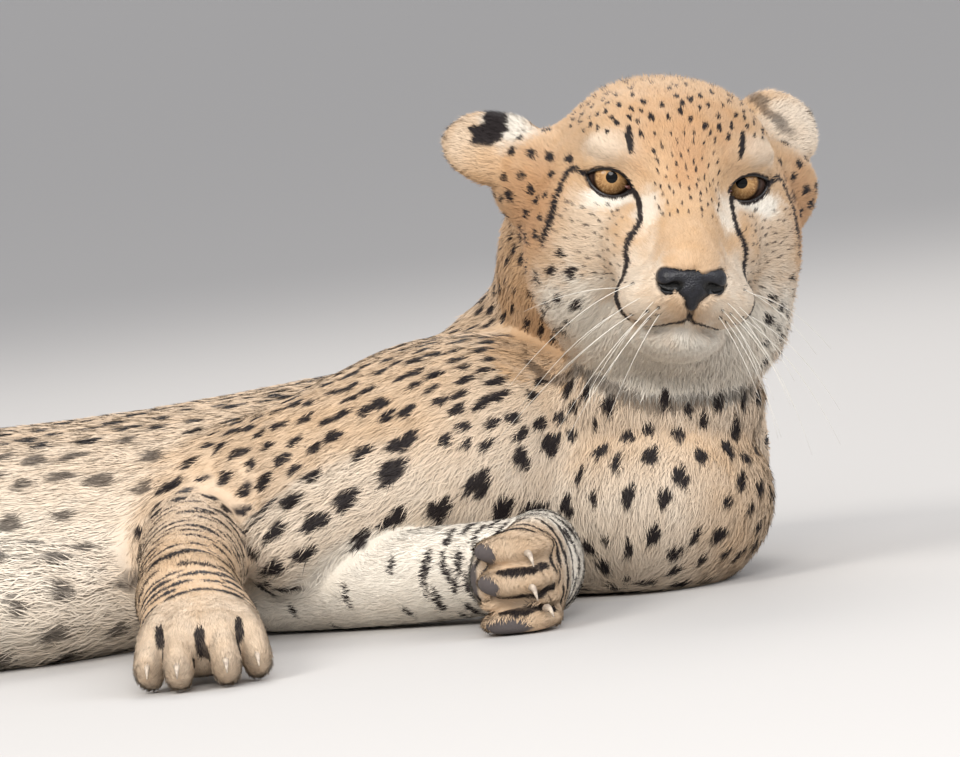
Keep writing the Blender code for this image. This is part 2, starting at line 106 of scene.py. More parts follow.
# How the coat grows on each kind of place, in centimetres and degrees: how deep the skin
# lies under the coat's outline, then the tufts' length, width, lift, curl and number per cm2.
coats = {
    "face":   {"depth": 0.18, "length": 0.48, "width": 0.036, "lift": 11, "curl": 0.10, "count": 260},
    "bridge": {"depth": 0.11, "length": 0.30, "width": 0.032, "lift": 10, "curl": 0.08, "count": 330},
    "brow":   {"depth": 0.20, "length": 0.48, "width": 0.036, "lift": 14, "curl": 0.12, "count": 260},
    "crown":  {"depth": 0.50, "length": 0.66, "width": 0.040, "lift": 20, "curl": 0.14, "count": 200},
    "cheek":  {"depth": 0.38, "length": 0.85, "width": 0.042, "lift": 15, "curl": 0.16, "count": 175},
    "jowl":   {"depth": 0.44, "length": 1.15, "width": 0.046, "lift": 18, "curl": 0.22, "count": 140},
    "muzzle": {"depth": 0.15, "length": 0.38, "width": 0.034, "lift": 11, "curl": 0.08, "count": 300},
    "chin":   {"depth": 0.26, "length": 0.60, "width": 0.036, "lift": 18, "curl": 0.12, "count": 230},
    "ruff":   {"depth": 0.65, "length": 1.50, "width": 0.048, "lift": 20, "curl": 0.30, "count": 115},
    "nape":   {"depth": 0.52, "length": 1.20, "width": 0.054, "lift": 18, "curl": 0.22, "count": 85},
    "ear":    {"depth": 0.12, "length": 0.60, "width": 0.040, "lift": 20, "curl": 0.20, "count": 190},
    "neck":   {"depth": 0.42, "length": 1.05, "width": 0.050, "lift": 13, "curl": 0.18, "count": 105},
    "chest":  {"depth": 0.52, "length": 1.30, "width": 0.050, "lift": 13, "curl": 0.24, "count": 95},
    "flank":  {"depth": 0.38, "length": 1.10, "width": 0.062, "lift": 8, "curl": 0.12, "count": 54},
    "belly":  {"depth": 0.68, "length": 1.80, "width": 0.068, "lift": 11, "curl": 0.24, "count": 44},
    "arm":    {"depth": 0.32, "length": 0.90, "width": 0.046, "lift": 6, "curl": 0.10, "count": 120},
    "wrist":  {"depth": 0.28, "length": 0.66, "width": 0.042, "lift": 5, "curl": 0.10, "count": 165},
    "paw":    {"depth": 0.20, "length": 0.60, "width": 0.040, "lift": 10, "curl": 0.14, "count": 210},
    "toe":    {"depth": 0.08, "length": 0.52, "width": 0.038, "lift": 13, "curl": 0.16, "count": 240},
    "hind":   {"depth": 0.34, "length": 0.95, "width": 0.066, "lift": 9, "curl": 0.10, "count": 48},
    "foot":   {"depth": 0.26, "length": 0.60, "width": 0.056, "lift": 11, "curl": 0.10, "count": 72},
    "tail":   {"depth": 0.48, "length": 1.20, "width": 0.066, "lift": 15, "curl": 0.16, "count": 52},
}

# Each chain: its coat, its stations as (centre, side radius, upright radius).
# "back" chains have their hair lying from the last station to the first.
body = {
    "trunk": {"coat": "flank", "back": True, "blend": 2.0, "stations": [
        ((-69.0, 31.0, 5.6), 5.0, 4.6), ((-62.0, 28.0, 6.9), 9.4, 7.4),
        ((-52.0, 23.5, 6.3), 9.4, 6.7), ((-42.0, 19.5, 5.8), 10.4, 6.3),
        ((-30.0, 15.5, 5.9), 13.0, 6.3), ((-18.0, 13.5, 6.0), 13.8, 6.4),
        ((-5.0, 12.0, 6.5), 13.0, 6.9), ((4.0, 11.0, 6.8), 11.0, 7.2),
        ((8.9, 9.4, 6.7), 7.4, 6.3)]},
    "neck": {"coat": "neck", "back": True, "blend": 2.0, "upright": (0, 1, 0), "stations": [
        ((6.0, 15.0, 8.5), 8.0, 7.6), ((7.9, 10.5, 13.2), 7.7, 7.2),
        ((8.7, 6.8, 17.4), 7.3, 6.6)]},
    "elbowWool": {"coat": "chest", "blend": 2.0, "stations": [
        ((-1.0, 0.6, 8.4), 4.6, 4.0), ((-7.0, -1.4, 6.6), 4.2, 3.6),
        ((-11.0, -2.4, 4.9), 3.4, 3.0)]},
    "bellyFold": {"coat": "belly", "blend": 2.0, "stations": [
        ((-20.5, 1.6, 3.2), 4.6, 3.6), ((-27.5, -0.6, 3.6), 5.2, 4.0),
        ((-38.0, 6.0, 4.2), 5.6, 4.6), ((-47.0, 13.0, 4.6), 5.0, 4.8)]},
}
bodyBalls = {
    "chestWool": {"coat": "chest", "lie": (-0.3, -0.4, -0.85),
                  "at": (-1.5, 4.0, 6.4), "radii": (9.0, 8.6, 6.6)},
    "withers": {"coat": "neck", "lie": (-0.8, 0.3, -0.5),
                "at": (2.6, 11.0, 11.6), "radii": (5.6, 7.0, 4.6)},
    "throatBase": {"coat": "chest", "lie": (-0.1, -0.3, -0.95),
                   "at": (9.0, 3.0, 10.0), "radii": (6.2, 6.4, 5.0)},
}
throatBase = bodyBalls["throatBase"]
leftArm = {
    "leftUpperArm": {"coat": "arm", "blend": 1.4, "stations": [
        ((7.0, 2.5, 4.6), 5.0, 4.6), ((-3.0, 2.5, 3.8), 4.3, 4.0), ((-12.0, 1.6, 3.2), 3.3, 3.3)]},
}
leftShoulder = {"coat": "neck", "lie": (-0.25, -0.55, -0.8),
                "at": (8.3, 1.8, 4.9), "radii": (6.7, 7.2, 5.7)}
leftForeleg = {
    "leftForearm": {"coat": "arm", "blend": 0.8, "stations": [
        ((-11.4, 0.4, 2.7), 2.9, 2.8), ((-6.0, -4.0, 2.9), 2.8, 2.8),
        ((-0.5, -8.2, 3.2), 2.6, 2.7), ((2.0, -9.6, 3.3), 2.4, 2.8)]},
    "leftHand": {"coat": "wrist", "blend": 0.8, "stations": [
        ((2.3, -8.6, 3.3), 2.0, 2.7), ((1.7, -12.2, 3.3), 2.1, 3.0), ((1.0, -14.6, 3.2), 1.9, 2.7)]},
}
leftPalm = {"coat": "paw", "lie": (-0.2, -1.0, 0.0), "at": (-0.7, -12.6, 3.1), "radii": (1.2, 1.7, 1.8)}
leftToes = [(4.65, 0.88, -16.7), (3.05, 0.92, -17.2), (1.95, 0.6, -15.6), (0.95, 0.85, -16.8)]
rightForeleg = {
    "rightUpperArm": {"coat": "arm", "blend": 1.8, "stations": [
        ((0.0, 3.5, 9.4), 6.0, 5.0), ((-7.0, 3.4, 8.1), 6.0, 5.3),
        ((-13.2, 4.2, 6.5), 4.6, 4.8), ((-16.2, 4.4, 5.7), 3.5, 3.9)]},
    "rightForearm": {"coat": "arm", "blend": 1.0, "stations": [
        ((-16.0, 4.0, 5.5), 3.4, 3.8), ((-16.0, -5.0, 4.9), 3.1, 3.3), ((-16.1, -14.0, 4.1), 2.8, 2.8)]},
    "rightHand": {"coat": "wrist", "blend": 0.9, "stations": [
        ((-15.9, -15.0, 3.8), 2.9, 2.6), ((-15.4, -19.5, 2.9), 3.3, 2.3), ((-15.3, -22.5, 2.5), 3.1, 2.0)]},
}
rightShoulder = {"coat": "arm", "lie": (-0.75, -0.45, -0.5),
                 "at": (-1.6, 7.6, 8.3), "radii": (9.6, 11.0, 6.5)}
rightToes = {"sides": (-18.0, -16.5, -14.1, -12.6), "reach": (-24.9, -26.4, -26.4, -24.9), "middle": -15.3}
hindLegs = {
    "right": {"heading": (0.46, -0.89), "chains": {
        "rightThigh": {"coat": "hind", "blend": 2.0, "stations": [
            ((-61.0, 25.0, 8.2), 8.6, 6.2), ((-56.0, 15.0, 7.6), 7.6, 6.0),
            ((-49.5, 5.0, 6.2), 5.0, 4.6), ((-47.6, 2.4, 5.8), 4.2, 4.2)]},
        "rightShank": {"coat": "hind", "blend": 1.0, "stations": [
            ((-48.0, 2.6, 5.6), 4.0, 4.0), ((-56.0, -4.5, 4.8), 3.9, 3.6),
            ((-64.5, -11.5, 3.6), 2.3, 2.4), ((-67.0, -13.6, 3.2), 2.5, 2.4)]},
        "rightHindfoot": {"coat": "foot", "blend": 0.9, "stations": [
            ((-67.0, -13.4, 3.1), 2.5, 2.5), ((-63.5, -20.0, 2.6), 2.1, 2.2),
            ((-59.2, -28.5, 2.4), 2.5, 2.2), ((-57.4, -32.0, 2.3), 3.0, 2.0)]}}},
    "left": {"heading": (0.32, -0.95), "chains": {
        "leftThigh": {"coat": "hind", "blend": 2.0, "stations": [
            ((-56.0, 23.0, 5.0), 7.6, 5.0), ((-46.0, 16.5, 4.5), 6.6, 4.6),
            ((-36.5, 9.0, 3.7), 4.6, 3.9), ((-34.6, 6.6, 3.5), 4.0, 3.6)]},
        "leftShank": {"coat": "hind", "blend": 1.0, "stations": [
            ((-34.8, 6.8, 3.4), 3.8, 3.5), ((-39.5, -2.0, 3.3), 3.6, 3.4),
            ((-46.0, -13.0, 2.6), 2.2, 2.3), ((-47.6, -15.6, 2.5), 2.4, 2.4)]},
        "leftHindfoot": {"coat": "foot", "blend": 0.9, "stations": [
            ((-47.4, -15.4, 2.5), 2.4, 2.4), ((-44.6, -23.0, 2.3), 2.0, 2.1),
            ((-41.6, -31.0, 2.3), 2.5, 2.2), ((-40.4, -34.6, 2.3), 3.0, 2.0)]}}},
}
tail = {
    "tail": {"coat": "tail", "blend": 1.0, "stations": [
        ((-68.0, 30.5, 5.6), 3.2, 3.2), ((-76.0, 34.5, 3.4), 2.7, 2.7),
        ((-88.0, 37.5, 2.4), 2.5, 2.5), ((-101.0, 36.5, 2.3), 2.4, 2.4),
        ((-112.0, 30.0, 2.2), 2.3, 2.3), ((-119.0, 19.0, 2.2), 2.3, 2.3),
        ((-119.5, 7.0, 2.1), 2.2, 2.2), ((-115.5, 0.5, 1.9), 1.7, 1.8)]},
}

# Head forms. Balls marked both are mirrored across the head's middle.
headBalls = {
    "cranium": {"coat": "crown", "at": (0, 5.0, 0.5), "radii": (6.2, 7.0, 4.65)},
    "brow": {"coat": "brow", "at": (0, 1.4, 1.7), "radii": (4.9, 3.4, 3.2)},
    "browRidge": {"coat": "brow", "both": True, "at": (2.8, -0.1, 1.5), "radii": (2.1, 1.35, 1.0),
                  "blend": 0.9},
    "maxilla": {"coat": "face", "both": True, "at": (2.3, -1.2, -3.2), "radii": (2.1, 2.9, 2.5),
                "blend": 1.4},
    "cheek": {"coat": "cheek", "both": True, "at": (4.4, 3.4, -2.6), "radii": (3.0, 4.8, 3.8)},
    "cheekbone": {"coat": "face", "both": True, "at": (3.5, 0.6, -1.9), "radii": (2.2, 2.1, 1.3),
                  "blend": 0.9},
    "jowl": {"coat": "jowl", "both": True, "at": (3.9, 3.2, -5.2), "radii": (3.2, 4.5, 3.6)},
    "whiskerPad": {"coat": "muzzle", "both": True, "at": (1.75, -4.1, -5.8), "radii": (2.05, 2.35, 1.6),
                   "blend": 1.0},
    "chin": {"coat": "chin", "at": (0, -3.0, -7.7), "radii": (2.1, 2.3, 1.35), "blend": 0.5},
    "ruff": {"coat": "ruff", "at": (1.0, 4.2, -7.6), "radii": (6.3, 5.4, 4.5)},
    "earBase": {"coat": "cheek", "both": True, "at": (6.3, 6.2, -0.6), "radii": (2.6, 3.0, 2.8)},
    "nape": {"coat": "nape", "at": (0, 8.6, -2.2), "radii": (6.9, 4.6, 5.4)},
}
headChains = {
    "muzzle": {"coat": "muzzle", "stations": [
        ((0, 1.0, -2.8), 3.6, 3.4), ((0, -2.4, -3.6), 2.9, 2.8), ((0, -5.4, -4.9), 2.2, 2.2)]},
    "bridge": {"coat": "bridge", "stations": [
        ((0, -0.6, 1.2), 2.0, 1.3), ((0, -3.4, -1.4), 1.7, 1.3), ((0, -6.0, -3.6), 1.4, 1.2)]},
    "jaw": {"coat": "chin", "stations": [((0, -2.0, -7.6), 2.6, 1.8), ((0, 3.5, -7.0), 4.4, 3.0)]},
}
ears = {
    "right": {"root": (-6.0, 6.4, 0.6), "along": (-0.96, 0.10, 0.12), "hollow": (0.25, 0.72, -0.62),
              "length": 4.8, "width": 4.6, "thick": 2.2},
    "left": {"root": (4.9, 6.8, 1.5), "along": (0.80, 0.16, 0.42), "hollow": (-0.15, 0.85, -0.45),
             "length": 3.6, "width": 4.8, "thick": 2.2},
}
eye = {
    "radius": 1.40,
    "lid": 0.16,             # thickness of a lid over the eyeball
    "inner": (1.10, -0.42),  # corners of the opening: across to the nose, and up
    "outer": (-1.34, 0.20),
    "upper": 0.66, "lower": 0.74,   # how far each lid bows from the line between the corners
    "iris": 0.98, "pupil": 0.30,
    "splay": {1: 0.0, -1: -0.15},   # how far each opening faces to its side
}


def unit(vector):
    vector = np.asarray(vector, float)
    return vector / np.maximum(np.linalg.norm(vector, axis=-1, keepdims=True), 1e-9)


def smoothMin(a, b, k):
    if k <= 0:
        return np.minimum(a, b)
    h = np.clip(0.5 + 0.5 * (b - a) / k, 0, 1)
    return b * (1 - h) + a * h - k * h * (1 - h)


def smoothMax(a, b, k):
    return -smoothMin(-a, -b, k)


def ellipsoidDistance(x, y, z, rx, ry, rz):
    near = np.sqrt((x / rx) ** 2 + (y / ry) ** 2 + (z / rz) ** 2)
    slope = np.sqrt((x / rx ** 2) ** 2 + (y / ry ** 2) ** 2 + (z / rz ** 2) ** 2)
    return near * (near - 1) / np.maximum(slope, 1e-4)


def splineRows(stations, steps):  # Catmull-Rom through a chain's stations
    rows = [np.array((*centre, *radii)) for centre, *radii in stations]
    rows = [rows[0]] + rows + [rows[-1]]
    fine = []
    for before, start, end, after in zip(rows, rows[1:], rows[2:], rows[3:]):
        for step in range(steps):
            t = step / steps
            fine.append(0.5 * (2 * start + (end - before) * t
                               + (2 * before - 5 * start + 4 * end - after) * t ** 2
                               + (3 * start - before - 3 * end + after) * t ** 3))
    fine.append(rows[-1])
    return fine


class Ball:
    def __init__(self, at, radii, coat, lie, blend=1.2, axes=None):
        self.at = np.array(at, float)
        self.radii = radii
        self.axes = np.eye(3) if axes is None else axes
        self.coat = coat
        self.lie = lie
        self.blend = blend
        self.low = self.at - max(radii)
        self.high = self.at + max(radii)
        self.depth = coats[coat]["depth"]

    def distance(self, points):
        local = (points - self.at) @ self.axes
        return ellipsoidDistance(local[:, 0], local[:, 1], local[:, 2], *self.radii) + self.depth


class Link:  # one straight length of a chain, an elliptical cone with round ends
    def __init__(self, start, end, upright):
        self.start = start[:3]
        run = end[:3] - start[:3]
        self.length = np.linalg.norm(run)
        self.heading = run / self.length
        self.across = unit(np.cross(upright, self.heading))
        self.rise = np.cross(self.heading, self.across)
        self.sides = (start[3], end[3])
        self.ups = (start[-1], end[-1])
        reach = max(self.sides + self.ups)
        self.low = np.minimum(start[:3], end[:3]) - reach
        self.high = np.maximum(start[:3], end[:3]) + reach

    def distance(self, points):
        local = points - self.start
        along = local @ self.heading
        t = np.clip(along / self.length, 0, 1)
        side = self.sides[0] + (self.sides[1] - self.sides[0]) * t
        up = self.ups[0] + (self.ups[1] - self.ups[0]) * t
        beyond = along - t * self.length
        return ellipsoidDistance(local @ self.across, beyond, local @ self.rise,
                                 side, np.minimum(side, up), up)


class Chain:
    def __init__(self, stations, coat, blend=1.0, upright=(0, 0, 1), back=False, steps=3):
        rows = splineRows(stations, steps)
        self.links = [Link(start, end, upright) for start, end in zip(rows, rows[1:])]
        self.low = np.min([link.low for link in self.links], axis=0)
        self.high = np.max([link.high for link in self.links], axis=0)
        self.coat = coat
        self.blend = blend
        self.back = back
        self.depth = coats[coat]["depth"]

    def distance(self, points, wantLie=False):
        found = np.full(len(points), farAway)
        lie = np.zeros((len(points), 3))
        for link in self.links:
            near = np.all((points > link.low - margin) & (points < link.high + margin), axis=1)
            if not near.any():
                continue
            value = link.distance(points[near])
            if wantLie:
                lie[near] += np.exp(-np.maximum(value, 0) / 0.5)[:, None] * link.heading
            found[near] = np.minimum(found[near], value)
        if wantLie:
            return found + self.depth, unit(lie) * (-1 if self.back else 1)
        return found + self.depth


class Part:  # forms that melt into one another, and how softly they join what is there already
    def __init__(self, name, join, forms, inHead=False):
        self.name = name
        self.join = join
        self.forms = forms
        self.inHead = inHead
        low = np.min([form.low for form in forms], axis=0) - margin
        high = np.max([form.high for form in forms], axis=0) + margin
        if inHead:
            corners = fromHead([(x, y, z) for x in (low[0], high[0]) for y in (low[1], high[1])
                                for z in (low[2], high[2])])
            low, high = corners.min(0), corners.max(0)
        self.low, self.high = low, high

    def local(self, points):
        return toHead(points) if self.inHead else points

    def distance(self, points):
        places = self.local(points)
        found = np.full(len(points), farAway)
        for form in self.forms:
            near = np.all((places > form.low - margin) & (places < form.high + margin), axis=1)
            if near.any():
                found[near] = smoothMin(found[near], form.distance(places[near]), form.blend)
        return found


margin = 2.6
farAway = 4.0


def chainForms(chains, steps=3):
    return [Chain(piece["stations"], piece["coat"], piece.get("blend", 1.0),
                  piece.get("upright", (0, 0, 1)), piece.get("back", False), steps)
            for piece in chains.values()]


def toeForms(knuckle, tip, side, up, coat="toe", lift=0.45):
    knuckle, tip = np.array(knuckle, float), np.array(tip, float)
    middle = knuckle + (tip - knuckle) * 0.55 + np.array((0, 0, lift))
    stations = [(knuckle, side, up), (middle, side, up), (tip, side * 0.85, up * 0.85)]
    return chainForms({"toe": {"coat": coat, "blend": 0.25, "stations": stations}}, 2)


def ballForm(ball, blend):
    return Ball(ball["at"], ball["radii"], ball["coat"], ball["lie"], blend)


def bodyParts():
    parts = [Part("torso", 0, chainForms(body) + [ballForm(ball, 2.0) for ball in bodyBalls.values()])]
    parts.append(Part("leftArm", 1.0, [ballForm(leftShoulder, 1.4)] + chainForms(leftArm)))
    toes = []
    for height, thick, reach in leftToes:
        toes += chainForms({"toe": {"coat": "toe", "blend": 0.2, "stations": [
            ((1.3, -12.6, height * 0.85 + 0.45), 1.6, thick), ((0.7, -14.8, height), 2.15, thick),
            ((0.5, reach + 0.8, height), 1.8, thick * 0.95)]}}, 2)
    parts.append(Part("leftForeleg", 0.4, chainForms(leftForeleg) + [ballForm(leftPalm, 0.6)]))
    parts.append(Part("leftToes", 0.5, toes))
    shoulder = Ball(rightShoulder["at"], rightShoulder["radii"], rightShoulder["coat"],
                    rightShoulder["lie"], 2.0)
    parts.append(Part("rightForeleg", 0.9, [shoulder] + chainForms(rightForeleg)))
    toes = []
    for side, reach in zip(rightToes["sides"], rightToes["reach"]):
        inner = side + (rightToes["middle"] - side) * 0.35
        toes += toeForms((inner, -20.6, 2.9), (side, reach + 0.9, 1.5), 0.92, 1.35)
    parts.append(Part("rightToes", 0.5, toes))
    for side in ("left", "right"):
        leg = hindLegs[side]
        parts.append(Part(side + "Hind", 1.2, chainForms(leg["chains"])))
        ahead = np.array((*leg["heading"], 0.0))
        across = np.array((-ahead[1], ahead[0], 0.0))
        ball = np.array(leg["chains"][side + "Hindfoot"]["stations"][-1][0])
        toes = []
        for place, reach in ((-2.1, 2.3), (-0.75, 3.4), (0.75, 3.4), (2.1, 2.3)):
            knuckle = ball + across * place * 0.8 + ahead * 0.4
            tip = ball + across * place + ahead * reach
            tip[2] = 1.3
            toes += toeForms(knuckle, tip, 0.85, 1.15, "foot")
        parts.append(Part(side + "HindToes", 0.5, toes))
    parts.append(Part("tail", 1.5, chainForms(tail, 2)))
    return parts


def headPart():
    forms = chainForms(headChains)
    for ball in headBalls.values():
        for side in (1, -1) if ball.get("both") else (1,):
            at = (ball["at"][0] * side, ball["at"][1], ball["at"][2])
            forms.append(Ball(at, ball["radii"], ball["coat"], None, ball.get("blend", 1.6)))
    return Part("head", 1.2, forms, inHead=True)


def earAxes(ear):
    along = unit(ear["along"])
    facing = np.array(ear["hollow"])
    facing = unit(facing - along * (facing @ along))
    return np.column_stack((along, np.cross(along, facing), facing))


class Ear:  # a cup: a flat ball with a smaller one taken out of its hollow side
    def __init__(self, ear):
        self.axes = earAxes(ear)
        self.middle = np.array(ear["root"]) + self.axes[:, 0] * ear["length"] * 0.5
        skinDepth = coats["ear"]["depth"]
        length, width, thick = ear["length"], ear["width"], ear["thick"]
        self.outer = (length * 0.62 - skinDepth, width * 0.5 - skinDepth, thick * 0.5 - skinDepth)
        self.hollowShift = np.array((0.08 * length, 0, thick * 0.62))
        self.inner = (length * 0.44, width * 0.36, thick * 0.66)
        self.low, self.high = self.middle - length, self.middle + length
        self.coat = "ear"
        self.blend = 0.5
        self.lie = self.axes[:, 0]

    def distance(self, points):
        local = (points - self.middle) @ self.axes
        cup = ellipsoidDistance(*local.T, *self.outer)
        hollow = ellipsoidDistance(*(local - self.hollowShift).T, *self.inner)
        return smoothMax(cup, -hollow, 0.3)


eyeFrames = {}
for side in (1, -1):
    centre = np.array((side * headPose["eyeSide"], headPose["eyeBack"], 0.0))
    ahead = unit((eye["splay"][side], -1.0, -0.02))
    noseward = unit(np.cross(ahead, (0, 0, 1))) * -side
    noseward = noseward if noseward[0] * -side > 0 else -noseward
    upward = unit(np.cross(noseward, ahead))
    upward = upward if upward[2] > 0 else -upward
    eyeFrames[side] = (centre, noseward, ahead, upward)


def arcCircle(start, end, bow):  # the circle through two points that bows to one side by bow
    chord = end - start
    half = np.linalg.norm(chord) / 2
    radius = (half ** 2 + bow ** 2) / (2 * abs(bow))
    normal = np.array((-chord[1], chord[0])) / (2 * half)
    normal = normal if normal[1] > 0 else -normal
    sign = 1 if bow > 0 else -1
    return (start + end) / 2 - normal * sign * (radius - abs(bow)), radius


def openingDistance(across, up):
    inner, outer = np.array(eye["inner"]), np.array(eye["outer"])
    found = None
    for bow in (eye["upper"], -eye["lower"]):
        middle, radius = arcCircle(inner, outer, bow)
        away = np.hypot(across - middle[0], up - middle[1]) - radius
        found = away if found is None else np.maximum(found, away)
    return found


mouth = {
    "philtrum": [(0, -7.2, -5.8), (0, -6.6, -6.5), (0, -5.8, -6.95)],
    "middle": (0, -5.8, -6.95), "corner": (2.8, -2.3, -7.9), "hold": 1.3,  # how long it stays to the front
    "depth": 0.22,
}
mouth["line"] = []
for share in (0, 0.2, 0.4, 0.6, 0.8, 1):
    run = np.subtract(mouth["corner"], mouth["middle"])
    mouth["line"].append(tuple(np.add(mouth["middle"], run * (share, share ** mouth["hold"], share))))


def polylineDistance(points, line):
    line = np.asarray(line, float)
    best = np.full(len(points), 1e9)
    for start, end in zip(line, line[1:]):
        run = end - start
        t = np.clip((points - start) @ run / (run @ run), 0, 1)
        best = np.minimum(best, np.linalg.norm(points - start - t[:, None] * run, axis=1))
    return best


def mirrored(places):  # both sides of the head folded onto one
    return np.column_stack((np.abs(places[:, 0]), places[:, 1], places[:, 2]))


def lipDistance(places, shallower=0.0):  # from the lips' line, or from the cleft under the nose
    folded = mirrored(places)
    return np.minimum(polylineDistance(folded, mouth["line"]),
                      polylineDistance(folded, mouth["philtrum"]) + shallower)


# The leather of the nose, in the head's frame, as balls, and what is hollowed out of it.
nose = {
    "balls": [((0, -6.45, -4.42), (1.78, 0.98, 0.70)), ((0, -6.70, -5.05), (0.95, 0.85, 0.80)),
              ((1.10, -6.28, -4.82), (0.72, 0.98, 0.78)), ((0, -6.95, -5.70), (0.34, 0.50, 0.50))],
    "melt": 0.30,
    "seat": 0.10,            # how far the skin keeps inside the leather
    "nostril": [((0.72, -7.55, -4.86), 0.24), ((0.98, -7.25, -5.00), 0.30), ((1.40, -6.95, -5.04), 0.20),
                ((1.84, -6.40, -4.90), 0.10)],
    "groove": [((0, -7.70, -4.70), 0.05), ((0, -7.75, -5.2), 0.09), ((0, -7.55, -5.9), 0.10)],
}


def noseBody(places):
    folded = mirrored(places)
    found = np.full(len(places), farAway)
    for middle, radii in nose["balls"]:
        away = ellipsoidDistance(*(folded - middle).T, *radii)
        found = smoothMin(found, away, nose["melt"])
    return found


def hollowDistance(places, name):  # from a nostril or the groove
    folded = mirrored(places)
    found = np.full(len(places), farAway)
    for (start, thick), (end, thin) in zip(nose[name], nose[name][1:]):
        run = np.subtract(end, start)
        t = np.clip((folded - start) @ run / (run @ run), 0, 1)
        away = np.linalg.norm(folded - start - t[:, None] * run, axis=1) - thick - (thin - thick) * t
        found = np.minimum(found, away)
    return found


def noseLeather(places):
    found = smoothMax(noseBody(places), -hollowDistance(places, "nostril"), 0.10)
    return smoothMax(found, -hollowDistance(places, "groove"), 0.10)


def headDetail(places, found):
    for side, (centre, noseward, ahead, upward) in eyeFrames.items():
        local = places - centre
        away = np.linalg.norm(local, axis=1)
        near = away < 3.2
        if not near.any():
            continue
        local, away = local[near], away[near]
        value = smoothMin(found[near], away - eye["radius"] - eye["lid"], 0.45)
        opening = openingDistance(local @ noseward, local @ upward)
        pit = np.maximum(np.maximum(opening, eye["radius"] - 0.25 - away), -(local @ ahead))
        found[near] = smoothMax(value, -pit, 0.03)
    near = (places[:, 1] < -2) & (places[:, 2] < -2.5)
    if near.any():
        spots = places[near]
        groove = lipDistance(spots, 0.05)
        carved = smoothMax(found[near], mouth["depth"] - groove, 0.12)
        found[near] = smoothMax(carved, -noseBody(spots) - nose["seat"], 0.05)
    return found


parts = bodyParts() + [headPart()]
for ear in ears.values():
    parts.append(Part("ear", 0.5, [Ear(ear)], inHead=True))
skinClear = 0.10         # how far the skin stays above the floor


def skinDistance(points, detail=True):
    points = np.asarray(points, float)
    found = np.full(len(points), farAway)
    for part in parts:
        near = np.all((points > part.low) & (points < part.high), axis=1)
        if not near.any():
            continue
        value = part.distance(points[near])
        if part.name == "head" and detail:
            value = headDetail(toHead(points[near]), value)
        found[near] = smoothMin(found[near], value, part.join)
    return smoothMax(found, floorLevel + skinClear - points[:, 2], 0.25)


def skinSlope(points, reach=0.03):
    corners = np.array(((1, -1, -1), (-1, -1, 1), (-1, 1, -1), (1, 1, 1)), float)
    total = np.zeros((len(points), 3))
    for corner in corners:
        total += corner * skinDistance(points + corner * reach)[:, None]
    return total / (4 * reach)


def settle(points, rounds=3, most=0.25):  # moves points onto the skin
    points = points.copy()
    for _ in range(rounds):
        slope = skinSlope(points)
        steep = np.maximum((slope ** 2).sum(1), 0.15)
        step = -(skinDistance(points) / steep)[:, None] * slope
        size = np.linalg.norm(step, axis=1, keepdims=True)
        points += step * np.minimum(1, most / np.maximum(size, 1e-9))
    return points


skinGrid = {"voxel": 0.36, "low": (-123.5, -40.0, -1.0), "high": (19.5, 42.0, 29.0)}


def skinSurface():
    voxel = skinGrid["voxel"]
    low = np.array(skinGrid["low"])
    counts = np.ceil((np.array(skinGrid["high"]) - low) / voxel).astype(int)
    coarse = 3
    blocks = np.ceil(counts / coarse).astype(int)
    middles = np.stack(np.meshgrid(*[np.arange(n) for n in blocks], indexing="ij"), -1).reshape(-1, 3)
    rough = skinDistance(low + (middles + 0.5) * voxel * coarse, detail=False)
    near = np.abs(rough) < voxel * coarse * 1.3
    values = np.full(blocks * coarse, farAway, np.float32)
    view = values.reshape(blocks[0], coarse, blocks[1], coarse, blocks[2], coarse)
    view[...] = rough.reshape(blocks)[:, None, :, None, :, None].clip(-farAway, farAway)
    steps = np.stack(np.meshgrid(*[np.arange(coarse)] * 3, indexing="ij"), -1).reshape(-1, 3)
    cells = (middles[near][:, None] * coarse + steps).reshape(-1, 3)
    values[tuple(cells.T)] = skinDistance(low + cells * voxel)
    grid = openvdb.FloatGrid(farAway)
    grid.copyFromArray(values, ijk=(0, 0, 0), tolerance=0.0)
    points, _, quads = grid.convertToPolygons(isovalue=0.0, adaptivity=0.0)
    return low + points * voxel, quads


points, quads = skinSurface()
report(f"skin surface, {len(points)} points, {len(quads)} faces")


def meshFrom(name, points, faces):
    mesh = bpy.data.meshes.new(name)
    mesh.from_pydata(toRow(np.asarray(points)).tolist(), [], np.asarray(faces).tolist())
    mesh.update()
    obj = bpy.data.objects.new(name, mesh)
    bpy.context.scene.collection.objects.link(obj)
    return obj


def vertexPlaces(obj):
    flat = np.empty(len(obj.data.vertices) * 3, np.float32)
    obj.data.vertices.foreach_get("co", flat)
    return (flat.reshape(-1, 3) - rowOffset) / cm


def setPlaces(obj, points):
    obj.data.vertices.foreach_set("co", toRow(points).astype(np.float32).ravel())
    obj.data.update()


def faceOutwards(obj):
    bm = bmesh.new()
    bm.from_mesh(obj.data)
    bmesh.ops.recalc_face_normals(bm, faces=bm.faces)
    bm.to_mesh(obj.data)
    bm.free()


def headRegion(points):
    places = toHead(points)
    return (np.linalg.norm(places - (0, 3.5, -2.0), axis=1) < 11.5) & (places[:, 2] > -11.0)


def faceRegion(points):
    places = toHead(points)
    return (places[:, 1] < 1.6) & (np.abs(places[:, 0]) < 6.4) & (places[:, 2] > -9.8) & (places[:, 2] < 4)


def pawRegion(points):
    leftPaw = (np.linalg.norm(points - (1.0, -14.5, 3.2), axis=1) < 5.2)
    rightPaw = (np.linalg.norm(points - (-15.4, -22.0, 2.8), axis=1) < 6.4)
    return leftPaw | rightPaw


def foreRegion(points):
    return (points[:, 0] > -22.0) & ~headRegion(points)


